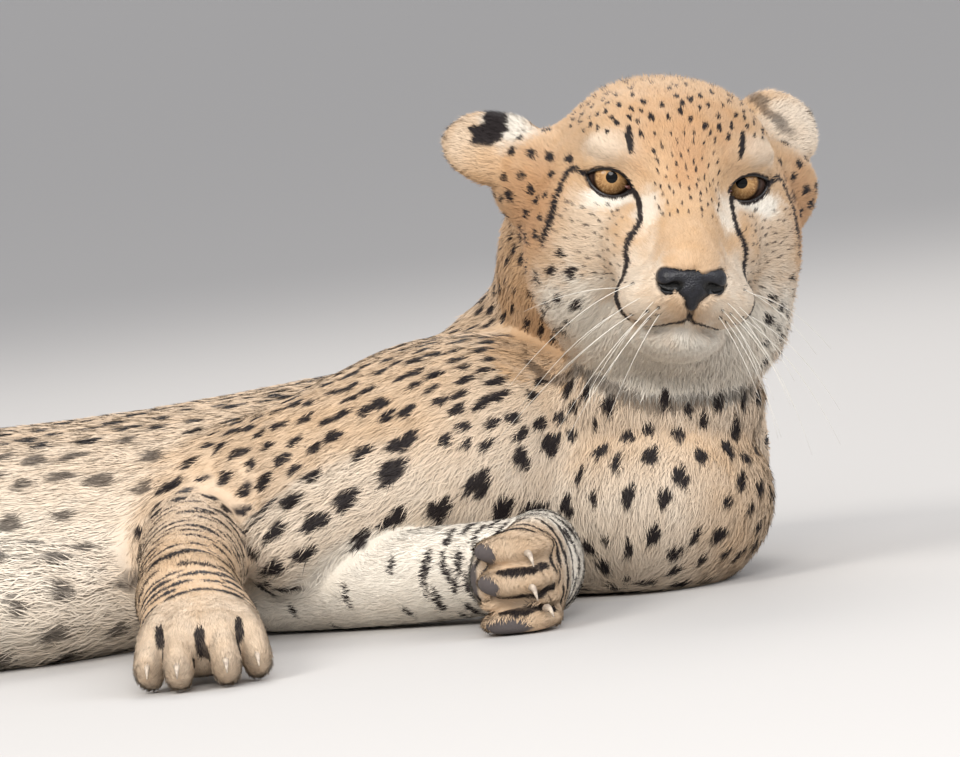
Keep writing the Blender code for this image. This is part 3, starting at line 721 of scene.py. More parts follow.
def unwrap(obj, layerName, faceChosen):
    layer = obj.data.uv_layers.get(layerName) or obj.data.uv_layers.new(name=layerName)
    obj.data.uv_layers.active = layer
    bpy.ops.object.select_all(action="DESELECT")
    obj.select_set(True)
    bpy.context.view_layer.objects.active = obj
    bpy.ops.object.mode_set(mode="EDIT")
    bpy.ops.mesh.select_all(action="DESELECT")
    bpy.ops.object.mode_set(mode="OBJECT")
    obj.data.polygons.foreach_set("select", faceChosen)
    bpy.ops.object.mode_set(mode="EDIT")
    bpy.ops.mesh.select_mode(type="FACE")
    bpy.ops.uv.smart_project(angle_limit=math.radians(60), island_margin=0.004)
    bpy.ops.object.mode_set(mode="OBJECT")


def subdivideWhere(obj, chosen):
    bm = bmesh.new()
    bm.from_mesh(obj.data)
    edges = [e for e in bm.edges if chosen[e.verts[0].index] and chosen[e.verts[1].index]]
    bmesh.ops.subdivide_edges(bm, edges=edges, cuts=1, use_grid_fill=True)
    bm.to_mesh(obj.data)
    bm.free()
    obj.data.update()


skin = meshFrom("cheetah_skin", points, quads)
faceOutwards(skin)
faceMiddles = vertexPlaces(skin)[np.array(quads)].mean(axis=1)
inHeadGroup = headRegion(faceMiddles)
inForeGroup = foreRegion(faceMiddles)
unwrap(skin, "OFBake", np.ones(len(quads), bool))
for chosen in (inHeadGroup, inForeGroup, ~(inHeadGroup | inForeGroup)):
    unwrap(skin, "lockMap", chosen)
report("skin unwrapped")
places = vertexPlaces(skin)
subdivideWhere(skin, headRegion(places) | pawRegion(places))
places = vertexPlaces(skin)
setPlaces(skin, settle(places, 2))
places = vertexPlaces(skin)
subdivideWhere(skin, faceRegion(places) | pawRegion(places))
places = vertexPlaces(skin)
fine = headRegion(places) | pawRegion(places)
places[fine] = settle(places[fine], 3, 0.12)
setPlaces(skin, places)
skin.data.shade_smooth()
report(f"skin refined, {len(skin.data.vertices)} points, {len(skin.data.polygons)} faces")

# How the coat lies, over every point of the skin.
coatKeys = ("length", "width", "lift", "curl", "count")
noseTip = np.array((0.0, -7.6, -4.9))


def headLie(places):  # the face's hair runs away from the nose, and hangs a little on the jowls
    lie = unit(places - noseTip)
    low = np.clip((-4.5 - places[:, 2]) / 3.0, 0, 1) * np.clip((places[:, 1] + 3.5) / 3.0, 0, 1)
    lie[:, 2] -= 0.55 * low
    lie[:, 1] += 0.45 * np.clip((places[:, 2] - 1.5) / 3.0, 0, 1)
    return unit(lie)


def coatAt(points):
    total = np.zeros(len(points))
    lies = np.zeros((len(points), 3))
    values = np.zeros((len(points), len(coatKeys)))
    for part in parts:
        inside = np.flatnonzero(np.all((points > part.low) & (points < part.high), axis=1))
        if not len(inside):
            continue
        local = part.local(points[inside])
        for form in part.forms:
            near = np.all((local > form.low - 1.5) & (local < form.high + 1.5), axis=1)
            if not near.any():
                continue
            spots = local[near]
            if isinstance(form, Chain):
                away, lie = form.distance(spots, wantLie=True)
            else:
                away = form.distance(spots)
                lie = np.broadcast_to(form.lie if form.lie is not None else (0, 0, 0), spots.shape)
            if part.name == "head":
                lie = headLie(spots)
            if part.inHead:
                lie = lie @ headTurn.T
            weight = np.exp(-np.maximum(away, 0) / 0.55)
            which = inside[near]
            total[which] += weight
            lies[which] += lie * weight[:, None]
            values[which] += weight[:, None] * np.array([coats[form.coat][key] for key in coatKeys])
    total = np.maximum(total, 1e-6)
    return unit(lies), values / total[:, None]


def waveNoise(points, scale, seed, octaves=3):  # smooth noise from a few turned waves, about -1 to 1
    source = np.random.default_rng(seed)
    found = np.zeros(len(points))
    for octave in range(octaves):
        for _ in range(4):
            direction = unit(source.normal(size=3)) * (2 ** octave) / scale
            bend = unit(source.normal(size=3)) * (2 ** octave) / scale * 0.7
            phase = source.uniform(0, 6.28, 2)
            found += np.sin(points @ direction * 6.28 + phase[0]
                            + 1.7 * np.sin(points @ bend * 6.28 + phase[1])) / (4 * 1.6 ** octave)
    return found


def rise(value, start, end):
    t = np.clip((value - start) / (end - start), 0, 1)
    return t * t * (3 - 2 * t)


# Patches of ground colour on the head, in the head's frame: centre, radii, how pale (from gold
# to cream) and how rusty.
headPatches = [
    {"name": "muzzle", "both": True, "at": (2.2, -4.4, -5.6), "radii": (3.0, 3.6, 2.6), "pale": 0.62},
    {"name": "under cheek", "both": True, "at": (4.4, -1.0, -3.2), "radii": (2.2, 2.6, 2.6), "pale": 0.42},
    {"name": "under the eye", "both": True, "at": (3.6, -1.2, -1.1), "radii": (2.0, 1.6, 0.62),
     "pale": 1.0},
    {"name": "tear side", "both": True, "at": (2.0, -3.2, -1.6), "radii": (0.75, 1.9, 1.5), "pale": 0.75},
    {"name": "over the eye", "both": True, "at": (4.0, -0.6, 1.6), "radii": (2.3, 1.7, 0.9), "pale": 0.50},
    {"name": "chin", "at": (0, -3.5, -8.6), "radii": (3.6, 3.6, 2.0), "pale": 1.0},
    {"name": "throat", "at": (0.6, 0.6, -9.4), "radii": (7.4, 6.6, 3.4), "pale": 1.0},
    {"name": "jowl", "both": True, "at": (4.6, 0.4, -6.8), "radii": (3.2, 3.4, 2.4), "pale": 0.95},
    {"name": "ear front", "at": (-7.7, 6.3, 2.2), "radii": (1.5, 2.6, 1.4), "pale": 1.0},
    {"name": "ear front", "at": (7.6, 6.4, 2.6), "radii": (2.6, 2.6, 2.4), "pale": 0.6},
    {"name": "ear tip", "at": (-10.6, 6.5, 1.6), "radii": (1.3, 2.6, 2.4), "pale": 0.35},
    {"name": "forehead", "at": (0, -0.8, 2.3), "radii": (3.6, 2.6, 2.6), "rust": 0.34},
    {"name": "forehead streak", "at": (-0.1, -2.4, 0.9), "radii": (1.0, 2.6, 2.6), "rust": 0.46},
    {"name": "cheek side", "both": True, "at": (6.9, 2.8, -1.8), "radii": (2.1, 3.4, 3.2), "rust": 0.50},
]


# How pale each limb is.
limbPale = {"leftArm": 0.60, "leftForeleg": 0.95, "leftToes": 0.28, "rightForeleg": 0.36,
            "rightToes": 0.42, "leftHind": 0.85, "rightHind": 0.35, "leftHindToes": 0.6,
            "rightHindToes": 0.6, "tail": 0.25}


def partDistance(points, name):
    part = next(p for p in parts if p.name == name)
    near = np.all((points > part.low) & (points < part.high), axis=1)
    away = np.full(len(points), farAway)
    away[near] = part.distance(points[near])
    return away


def groundAt(points):
    places = toHead(points)
    trunkSide = (points[:, 1] - (12 - 0.32 * np.minimum(points[:, 0] + 5, 0))) / 12
    trunkUp = (points[:, 2] - 6.3) / 7
    back = 0.8 * trunkSide + 0.55 * trunkUp
    drift = 0.12 * waveNoise(points, 9.0, 5)
    most = 0.34 + 0.30 * rise(-points[:, 0], 12, 36)
    pale = 0.30 + most * (1 - rise(back + drift, -1.6, 0.5))
    rust = 0.16 * rise(back, 0.5, 1.1)
    inHead = headRegion(points)
    neckish = np.linalg.norm(points - (8.0, 9.0, 14.0), axis=1) < 9.0
    neckPale = np.clip(0.60 - 0.04 * (points[:, 1] - 4) - 0.02 * points[:, 2], 0.28, 0.8)
    pale = np.where(neckish & ~inHead, neckPale, pale)
    limb = np.zeros(len(points))
    for name, level in limbPale.items():
        share = 1 - rise(partDistance(points, name), 0.15, 1.1)
        share = np.where(inHead, 0, share)
        shade = np.full(len(points), level)
        if name == "rightForeleg":
            under = (points[:, 2] - 5.2) / 4
            shade = np.clip(level + 0.25 * rise(-under, 0.1, 0.9) - 0.10 * rise(under, 0.6, 1.6)
                            - 0.16 * rise(-points[:, 1], 6, 12) * rise(-points[:, 0], 11, 14)
                            + 0.25 * rise(points[:, 0], -4, 3) * rise(-points[:, 1], -2, 3), 0, 1)
        if name == "rightHind":
            shade = np.clip(level + 0.5 * rise(-(points[:, 2] - 4) / 4, -0.2, 0.6), 0, 1)
        if name == "leftArm":
            shade = np.clip(level + 0.25 * rise(-points[:, 0], -6, 0) - 0.30 * rise(points[:, 0], 9, 13)
                            - 0.25 * rise(points[:, 2], 6.0, 9.0)
                            - 0.20 * rise(points[:, 1], 3, 7), 0.26, 1)
        if name == "tail":
            shade = np.clip(0.25 + 0.6 * rise(-(points[:, 2] - 2.2) / 2, -0.3, 0.7), 0, 1)
            shade = np.where((points[:, 0] < -114) & (points[:, 1] < 5), 1.0, shade)
        pale = pale * (1 - share) + shade * share
        limb = np.maximum(limb, share)
    pale = np.where(inHead, 0.14, pale)
    rust = np.where(inHead, 0.10, rust * (1 - limb))
    for patch in headPatches:
        for side in (1, -1) if patch.get("both") else (1,):
            centre = np.array(patch["at"]) * (side, 1, 1)
            away = np.linalg.norm((places - centre) / patch["radii"], axis=1)
            share = (1 - rise(away + 0.20 * waveNoise(points, 1.6, 8), 0.40, 1.30)) * inHead
            if "pale" in patch:
                pale = pale + (patch["pale"] - pale) * share
                rust = rust * (1 - share)
            if "rust" in patch:
                rust = rust + (patch["rust"] - rust) * share
    return np.clip(pale + 0.06 * waveNoise(points, 2.2, 12), 0, 1), np.clip(rust, 0, 1)

# Lines on each side of the face. Each runs from a corner of the eye over places on the head's
# forms, given as shares of their radii, with half widths along it.
faceLines = {
    "tear line": {"corner": "inner", "widths": (0.17, 0.15, 0.18, 0.26, 0.34, 0.36, 0.15), "places": [
        ("maxilla", (0.0, -0.75, 0.5)), ("maxilla", (0.35, -0.9, 0.0)),
        ("whiskerPad", (0.8, 0.0, 0.7)), ("whiskerPad", (0.95, -0.2, 0.1)),
        ("whiskerPad", (0.85, -0.3, -0.4)), ("whiskerPad", (0.6, -0.2, -0.85))]},
    "side line": {"corner": "outer", "widths": (0.15, 0.19, 0.21, 0.30, 0.18), "places": [
        ("cheekbone", (0.85, 0.2, 1.6)), ("cheekbone", (1.05, 0.1, 0.6)), ("cheek", (0.65, -0.6, 0.1)),
        ("cheek", (0.75, -0.5, -0.3))]},
    "brow mark": {"widths": (0.11, 0.19, 0.12), "places": [
        ("browRidge", (0.05, -0.6, 1.1)), ("browRidge", (0.05, -0.9, 0.6)),
        ("browRidge", (0.0, -1.1, -0.1))]},
}
lineMarks = {  # half widths of the other lines, and how dark they are
    # The toe gap lines are painted shade between the toes.
    "toeGap": 0.34, "toeGapShadeDark": 0.9,
    # The collar line: partly darker hair, partly painted shade under the ruff.
    "collar": 0.50, "collarShadeDark": 0.55,
    "lip": 0.15,
}


def faceRows(line, side):
    places = []
    if "corner" in line:
        centre, noseward, ahead, upward = eyeFrames[side]
        across, up = eye[line["corner"]]
        places.append(centre + noseward * across + upward * up + ahead * eye["radius"])
    for name, share in line["places"]:
        form = headBalls[name]
        places.append(np.add(form["at"], np.multiply(form["radii"], share)) * (side, 1, 1))
    return np.column_stack((fromHead(places), line["widths"]))


def lipRows(side):
    places = [np.add(place, (0, -0.7, 0.15)) * (side, 1, 1) for place in mouth["line"][:-1]]
    return np.column_stack((fromHead(places), np.linspace(1, 0.7, len(places)) * lineMarks["lip"]))


def toeGapShades():  # painted shade in the gaps between the toes of the forepaws
    gaps = []
    toes = list(zip(rightToes["sides"], rightToes["reach"]))
    for (side, reach), (nextSide, nextReach) in zip(toes, toes[1:]):
        x, y = (side + nextSide) / 2, (reach + nextReach) / 2
        gaps.append([(x, y + 2.4, 3.4), (x, y + 1.0, 2.3), (x, y + 0.6, 0.9)])
    for (height, _, reach), (nextHeight, _, nextReach) in zip(leftToes, leftToes[1:]):
        y, z = (reach + nextReach) / 2, (height + nextHeight) / 2
        gaps.append([(-0.2, y + 0.1, z), (1.0, y - 0.1, z), (2.9, y + 0.9, z)])
    width = lineMarks["toeGap"]
    return [np.column_stack((gap, (0.6 * width, width, 0.6 * width))) for gap in gaps]


def collarShadeRows():  # a darker line round the front of the throat under the ruff: partly darker hair, partly painted shade cast by the ruff
    middle, radii = throatBase["at"], throatBase["radii"]
    turns = np.radians(np.linspace(200, 330, 7))
    places = np.column_stack((middle[0] + radii[0] * np.cos(turns), middle[1] + radii[1] * np.sin(turns),
                              middle[2] + 0.3 + 3.0 * np.maximum(-np.cos(turns), 0)))
    return np.column_stack((places, np.full(len(places), lineMarks["collar"])))


class PointSet:  # points in order of x, so that those near a mark are found quickly
    def __init__(self, points):
        self.points = points
        self.order = np.argsort(points[:, 0])
        self.sortedX = points[self.order, 0]

    def near(self, low, high):
        first, last = np.searchsorted(self.sortedX, (low[0], high[0]))
        which = self.order[first:last]
        spots = self.points[which]
        inside = ((spots[:, 1] > low[1]) & (spots[:, 1] < high[1])
                  & (spots[:, 2] > low[2]) & (spots[:, 2] < high[2]))
        return which[inside]


def spotSeeds(candidates, spacings):  # evenly scattered points, each kept clear of the ones before
    kept = []
    keptPlaces = np.empty((len(candidates), 3))
    for index in chance.permutation(len(candidates)):
        spacing = spacings[index]
        if spacing <= 0:
            continue
        place = candidates[index]
        if kept:
            away = keptPlaces[:len(kept)] - place
            if (np.einsum("ij,ij->i", away, away) < spacing ** 2).any():
                continue
        keptPlaces[len(kept)] = place
        kept.append(index)
    return kept


# The spots of each region: spacing, half length, half width and darkness.
spotKinds = {
    "shoulder": (1.24, 0.62, 0.44, 1.0),
    "withers": (0.98, 0.50, 0.31, 1.0),
    "neck": (1.0, 0.44, 0.32, 0.95),
    "leftShoulder": (1.3, 0.52, 0.36, 1.0),
    "chest": (1.8, 0.78, 0.52, 0.95),
    "flank": (1.6, 0.64, 0.46, 1.0),
    "belly": (2.3, 0.86, 0.62, 0.62),
    "forearm": (1.0, 0.80, 0.23, 1.0),
    "thigh": (1.9, 0.70, 0.52, 1.0),
    "shank": (1.5, 0.52, 0.36, 0.95),
    "foot": (1.3, 0.30, 0.20, 0.6),
    "tail": (1.8, 0.64, 0.50, 1.0),
    "crown": (0.62, 0.24, 0.14, 0.95),
    "tick": (0.46, 0.20, 0.07, 0.75),
    "cheek": (0.98, 0.34, 0.26, 0.95),
    "freckle": (0.44, 0.18, 0.09, 0.62),
    "sparse": (2.6, 0.62, 0.22, 0.9),
    "none": (0, 0, 0, 0),
}
crossKinds = ("forearm", "sparse")  # bars across the limb instead of spots along the hair
tailRings = ((14.5, 1.1), (10.0, 1.3), (5.6, 1.5))  # middle and half width along the tail's end


def spotKindAt(points):
    kinds = np.full(len(points), "flank", dtype=object)
    names = ["torso"] + list(limbPale)
    nearest = np.argmin(np.stack([partDistance(points, name) for name in names]), axis=0)
    owner = np.array(names, dtype=object)[nearest]
    x, y, z = points.T
    torso = owner == "torso"
    trunkSide = y - (12 - 0.32 * np.minimum(x + 5, 0))
    kinds[torso & (trunkSide + z < 1.0)] = "belly"
    kinds[torso & (x > -14) & (y < 4)] = "chest"
    kinds[torso & (x > -2) & (z > 9)] = "neck"
    kinds[owner == "leftArm"] = "leftShoulder"
    kinds[(owner == "leftArm") & (x < 3)] = "none"
    kinds[(owner == "leftForeleg")] = "sparse"
    kinds[(owner == "leftForeleg") & (y < -8.0)] = "forearm"
    kinds[owner == "rightForeleg"] = "shoulder"
    kinds[(owner == "rightForeleg") & (z > 9.0)] = "withers"
    kinds[torso & (x > -16) & (z > 9.5) & (trunkSide > -6)] = "withers"
    kinds[torso & (x > -2) & (z > 10.5)] = "neck"
    kinds[(owner == "rightForeleg") & (y < -3) & (x < -12)] = "forearm"
    kinds[(owner == "rightForeleg") & (y < -20)] = "none"
    kinds[(owner == "leftToes") | (owner == "rightToes")] = "none"
    for side in ("left", "right"):
        hind = owner == side + "Hind"
        kinds[hind] = "thigh"
        kinds[hind & (y < 3)] = "shank"
        kinds[hind & (y < -15)] = "foot"
        kinds[owner == side + "HindToes"] = "none"
    kinds[owner == "tail"] = "tail"
    kinds[(owner == "tail") & (y < 16) & (x < -112)] = "none"
    inHead = headRegion(points)
    away, back, up = mirrored(toHead(points)).T
    kinds[inHead] = "none"
    kinds[inHead & (up > 2.3) & (back > -2.5)] = "crown"
    kinds[inHead & (away < 1.7) & (up > -1.5) & (up < 2.6)] = "tick"
    kinds[inHead & (back > 1.4) & (away > 4.6) & (up > -9) & (up < 1)] = "cheek"
    kinds[inHead & (back > 5.0) & (up > -7) & (up < 2.6)] = "cheek"
    kinds[inHead & (up < -1.3) & (up > -5.2) & (away > 3.0) & (away < 6.2) & (back < 1.4)] = "freckle"
    kinds[inHead & (away > 4.8) & (back > -0.9) & (up < -3.4) & (up > -8)] = "cheek"
    earAway = np.full(len(points), farAway)
    for part in parts:
        if part.name == "ear":
            earAway = np.minimum(earAway, part.distance(points))
    kinds[earAway < 0.25] = "none"
    return kinds


def paintSpot(marks, cloud, centre, along, normal, length, width, dark, wobble, soft=0.30):
    across = unit(np.cross(normal, along))
    reach = max(length, width) * 1.6 + 0.4
    which = cloud.near(centre - reach, centre + reach)
    if not len(which):
        return
    away = cloud.points[which] - centre
    u = away @ along / length
    v = away @ across / width
    turn = np.arctan2(v, u)
    edge = (1 + 0.13 * np.sin(2 * turn + wobble[0]) + 0.12 * np.sin(3 * turn + wobble[1])
            + 0.08 * np.sin(5 * turn + wobble[2]))
    depth = np.abs(away @ normal)
    value = 1 - rise(np.hypot(u, v) / edge, 1 - soft, 1 + soft)
    value = value * (depth < reach)
    marks[which] = np.maximum(marks[which], value * dark)


def smoothLine(line, steps=6):
    rows = [np.array(row, float) for row in line]
    rows = [rows[0]] + rows + [rows[-1]]
    fine = []
    for before, start, end, after in zip(rows, rows[1:], rows[2:], rows[3:]):
        for step in range(steps):
            t = step / steps
            fine.append(0.5 * (2 * start + (end - before) * t
                               + (2 * before - 5 * start + 4 * end - after) * t ** 2
                               + (3 * start - before - 3 * end + after) * t ** 3))
    fine.append(rows[-1])
    return np.array(fine)


def paintLine(marks, cloud, line, dark, ragged=0.25):  # rows of x, y, z, half width
    for start, end in zip(line, line[1:]):
        reach = max(start[3], end[3]) * 1.7 + 0.2
        low = np.minimum(start[:3], end[:3]) - reach
        high = np.maximum(start[:3], end[:3]) + reach
        which = cloud.near(low, high)
        if not len(which):
            continue
        run = end[:3] - start[:3]
        t = np.clip((cloud.points[which] - start[:3]) @ run / (run @ run), 0, 1)
        away = np.linalg.norm(cloud.points[which] - start[:3] - t[:, None] * run, axis=1)
        width = start[3] + (end[3] - start[3]) * t
        noise = waveNoise(cloud.points[which], 0.9, 31, 2)
        value = 1 - rise(away / (width * (1 + ragged * noise)), 0.75, 1.3)
        marks[which] = np.maximum(marks[which], value * dark)


# Whiskers in rows on each side of the muzzle: root in the head's frame, and how they lean.
whisker = {"rows": 3, "perRow": 4, "length": (4.0, 7.5), "root": 0.020, "tip": 0.005, "steps": 10}


def whiskerRoot(side, row, place):
    root = (side * (1.5 + 0.42 * place), -6.1 + 0.55 * place, -5.5 - 0.42 * row - 0.05 * place)
    return settle(fromHead(root)[None], 6, 0.5)[0]


def buildMarks(skinPoints, skinNormals, skinLies):
    spots = []
    kinds = spotKindAt(skinPoints)
    jitter = chance.uniform(0.86, 1.16, len(kinds))
    spacings = np.array([spotKinds[kind][0] for kind in kinds]) * jitter
    thin = chance.random(len(kinds)) < np.where(headRegion(skinPoints), 0.12, 0.25)
    candidates = np.flatnonzero(thin & (spacings > 0) & (skinPoints[:, 2] > floorLevel + 0.3))
    tree = kdtree.KDTree(len(skinPoints))
    for index, place in enumerate(skinPoints):
        tree.insert(place, index)
    tree.balance()
    lines = [(collarShadeRows(), lineMarks["collarShadeDark"])]
    lines += [(gap, lineMarks["toeGapShadeDark"]) for gap in toeGapShades()]
    for side in (-1, 1):
        lines += [(faceRows(line, side), 1.0) for line in faceLines.values()] + [(lipRows(side), 1.0)]
        for row in range(whisker["rows"]):
            for place in range(whisker["perRow"]):
                _, index, _ = tree.find(whiskerRoot(side, row, place))
                spots.append((skinPoints[index], skinLies[index], skinNormals[index], 0.13, 0.08, 1.0))
    lines = [(smoothLine(rows), dark) for rows, dark in lines]
    for rows, _ in lines:
        rows[:, :3] = settle(rows[:, :3], 5, 0.6)
    placed = [(spot[0], spot[3]) for spot in spots]
    for rows, dark in lines:
        if dark > lineMarks["collarShadeDark"]:
            placed += [(row[:3], row[3]) for row in rows[::2]]
    for place, size in placed:
        away = np.linalg.norm(skinPoints[candidates] - place, axis=1)
        clear = np.where(headRegion(skinPoints[candidates]), 0.40, 0.5)
        candidates = candidates[away > size + clear]
    for index in spotSeeds(skinPoints[candidates], spacings[candidates]):
        index = candidates[index]
        _, length, width, dark = spotKinds[kinds[index]]
        size = chance.uniform(0.72, 1.18)
        stretch = chance.uniform(0.88, 1.15)
        along = skinLies[index]
        if kinds[index] in crossKinds:
            along = np.cross(skinNormals[index], along)
        spots.append((skinPoints[index], along, skinNormals[index],
                      length * size * stretch, width * size / stretch, dark))
    return [(*spot, chance.uniform(0, 6.28, 3)) for spot in spots], lines


def earAlong(places):  # how far out along an ear a place is, 0 to 1, or -1 off the ears
    found = np.full(len(places), -1.0)
    for ear, part in zip(ears.values(), [p for p in parts if p.name == "ear"]):
        form = part.forms[0]
        away = form.distance(places)
        local = (places - form.middle) @ form.axes
        share = np.clip(local[:, 0] / ear["length"] + 0.5, 0, 1)
        found = np.where((away < 0.30) & (share > 0.02), share, found)
    return found


def lidDistance(places):  # how far outside the eyes' openings a place is
    found = np.full(len(places), farAway)
    for centre, noseward, ahead, upward in eyeFrames.values():
        local = places - centre
        edge = openingDistance(local @ noseward, local @ upward)
        close = (np.linalg.norm(local, axis=1) < 3.0) & (local @ ahead > 0)
        found = np.where(close, edge, found)
    return found


def marksAt(points, spots, lines):
    marks = np.zeros(len(points))
    cloud = PointSet(points)
    for centre, along, normal, length, width, dark, wobble in spots:
        paintSpot(marks, cloud, centre, along, normal, length, width, dark, wobble)
    for rows, dark in lines:
        paintLine(marks, cloud, rows, dark)
    near = np.flatnonzero(headRegion(points))
    places = toHead(points[near])
    face = marks[near]
    face = np.maximum(face, 1 - rise(lidDistance(places), 0.10, 0.20))
    corner = rise(np.abs(places[:, 0]), 1.4, 3.0)
    face = np.maximum(face, (1 - rise(lipDistance(places), 0.12, 0.24)) * (1 - 0.5 * corner))
    face = np.maximum(face, 0.85 * (1 - rise(noseBody(places), 0.0, 0.10)))
    along = earAlong(places)
    high = rise(places[:, 2] + 0.25 * waveNoise(places, 2.0, 17, 2), 0.75, 1.25)
    ragged = along + 0.08 * (places[:, 2] - 1.9) + 0.09 * waveNoise(places, 1.6, 19, 2)
    band = rise(ragged, 0.40, 0.50) * (1 - rise(ragged, 0.68, 0.80))
    leftHigh = 0.55 * rise(places[:, 2], 1.6, 2.6)
    face = np.maximum(face, band * (along > 0) * np.where(places[:, 0] < 0, high, leftHigh))
    marks[near] = face
    tailTip = (points[:, 0] < -110) & (points[:, 1] < 19)
    ringWay = np.where(tailTip, points[:, 1], 99)
    for middle, half in tailRings:
        ring = 1 - rise(np.abs(ringWay - middle), half - 0.3, half + 0.3)
        marks = np.where(tailTip, np.maximum(marks, ring), marks)
    return np.clip(marks, 0, 1)


def evened(vectors, rounds):  # off the head, each vertex's lie is drawn to those around it
    edges = np.empty(len(skin.data.edges) * 2, np.int32)
    skin.data.edges.foreach_get("vertices", edges)
    ends = edges.reshape(-1, 2)
    found = vectors.copy()
    for _ in range(rounds):
        around = np.column_stack([np.bincount(ends[:, 0], found[ends[:, 1], axis], len(found))
                                  + np.bincount(ends[:, 1], found[ends[:, 0], axis], len(found))
                                  for axis in range(3)])
        found = unit(found + around / 4)
    return np.where(headRegion(places)[:, None], vectors, found)


places = vertexPlaces(skin)
normals = np.empty(len(places) * 3, np.float32)
skin.data.vertices.foreach_get("normal", normals)
normals = normals.reshape(-1, 3).astype(float)
lies, coatValues = coatAt(places)
lies = evened(lies, 40)
lies = unit(lies - (lies * normals).sum(1, keepdims=True) * normals)
pales, rusts = groundAt(places)
report("coat directions and ground colours")
spots, lines = buildMarks(places, normals, lies)
skinMarks = marksAt(places, spots, lines)
report(f"{len(spots)} spots")

# Bare grey leather on the paws: middle and radii.
barePads = [
    {"name": "left palm", "at": (-2.4, -13.4, 3.2), "radii": (1.2, 1.6, 2.0)},
    {"name": "left upper toe", "at": (-1.1, -16.0, 4.5), "radii": (1.0, 2.0, 0.80)},
    {"name": "left middle toe", "at": (-1.1, -16.4, 2.9), "radii": (1.0, 2.0, 0.80)},
    {"name": "left lower toe", "at": (0.0, -16.4, 0.9), "radii": (1.5, 2.0, 0.55)},
]


def leatherAt(points):
    found = np.zeros(len(points))
    for pad in barePads:
        away = np.linalg.norm((points - pad["at"]) / pad["radii"], axis=1)
        found = np.maximum(found, 1 - rise(away, 0.8, 1.05))
    return found


def growthAt(points):  # how thickly hair grows: none in the eyes, on the nose, the pads, or on the floor
    grown = (1 - leatherAt(points)) * (points[:, 2] > floorLevel + skinClear + 0.12)
    near = np.flatnonzero(headRegion(points))
    places = toHead(points[near])
    share = rise(lidDistance(places), 0.10, 0.20) * rise(noseBody(places), 0.06, 0.16)
    share = share * rise(lipDistance(places), 0.08, 0.18)
    grown[near] = grown[near] * share
    return grown


def addAttribute(obj, name, kind, values):
    layer = obj.data.attributes.new(name, kind, "POINT")
    key = {"FLOAT": "value", "FLOAT_COLOR": "color", "FLOAT_VECTOR": "vector"}[kind]
    layer.data.foreach_set(key, np.ascontiguousarray(values, np.float32).ravel())


leathers = leatherAt(places)
skinShade = 0.5 + 0.25 * waveNoise(places, 1.4, 21)
addAttribute(skin, "tone", "FLOAT_COLOR", np.column_stack((skinMarks, pales, rusts, skinShade)))
addAttribute(skin, "leather", "FLOAT", leathers)

# The coat: thin blades set along the coat's lie.
tuft = {
    "sink": 0.03,            # how far a root goes into the skin
    "clear": 0.03,           # how far a tip stays above the floor
    "roll": 38,              # how far a blade may turn on its own length, in degrees
    "stray": 10,             # how far its direction strays
    "clump": 8,              # and how far the hairs around it stray together
    "patch": 0.0015,         # half of its patch on the unwrap
    "groups": {"head": (3, 84000), "fore": (3, 92000), "rest": (2, 98000)},  # pieces, tufts in each
}


def rootPlaces(groupOf):
    mesh = skin.data
    mesh.calc_loop_triangles()
    count = len(mesh.loop_triangles)
    corners = np.empty(count * 3, np.int32)
    mesh.loop_triangles.foreach_get("vertices", corners)
    loops = np.empty(count * 3, np.int32)
    mesh.loop_triangles.foreach_get("loops", loops)
    corners, loops = corners.reshape(-1, 3), loops.reshape(-1, 3)
    flat = np.empty(len(mesh.loops) * 2, np.float32)
    mesh.uv_layers["lockMap"].uv.foreach_get("vector", flat)
    lockMap = flat.reshape(-1, 2)
    spread = places[corners]
    areas = np.linalg.norm(np.cross(spread[:, 1] - spread[:, 0], spread[:, 2] - spread[:, 0]), axis=1) / 2
    grown = growthAt(places)
    expected = areas * (coatValues[:, coatKeys.index("count")] * grown)[corners].mean(axis=1)
    middles = spread.mean(axis=1)
    groups = groupOf(middles)
    for number, (name, (pieces, most)) in enumerate(tuft["groups"].items()):
        mine = groups == number
        wanted = expected[mine].sum()
        share = pieces * most / wanted
        expected[mine] *= share
        report(f"{name}: {wanted:.0f} tufts wanted, {wanted * share:.0f} grown")
    ends = np.floor(np.cumsum(expected) + chance.random()).astype(int)
    numbers = np.diff(ends, prepend=0)
    chosen = np.repeat(np.arange(count), numbers)
    a, b = chance.random((2, len(chosen)))
    flip = a + b > 1
    a, b = np.where(flip, 1 - a, a), np.where(flip, 1 - b, b)
    weights = np.column_stack((1 - a - b, a, b))

    def blended(values):
        return np.einsum("ij,ijk->ik", weights, values)

    return {"at": blended(spread[chosen]), "normal": unit(blended(normals[corners[chosen]])),
            "lie": unit(blended(lies[corners[chosen]])), "values": blended(coatValues[corners[chosen]]),
            "patch": blended(lockMap[loops[chosen]]), "group": groups[chosen]}


def groupOf(points):
    return np.where(headRegion(points), 0, np.where(foreRegion(points), 1, 2))


def turned(vectors, axes, angles):
    cosine, sine = np.cos(angles)[:, None], np.sin(angles)[:, None]
    return vectors * cosine + np.cross(axes, vectors) * sine


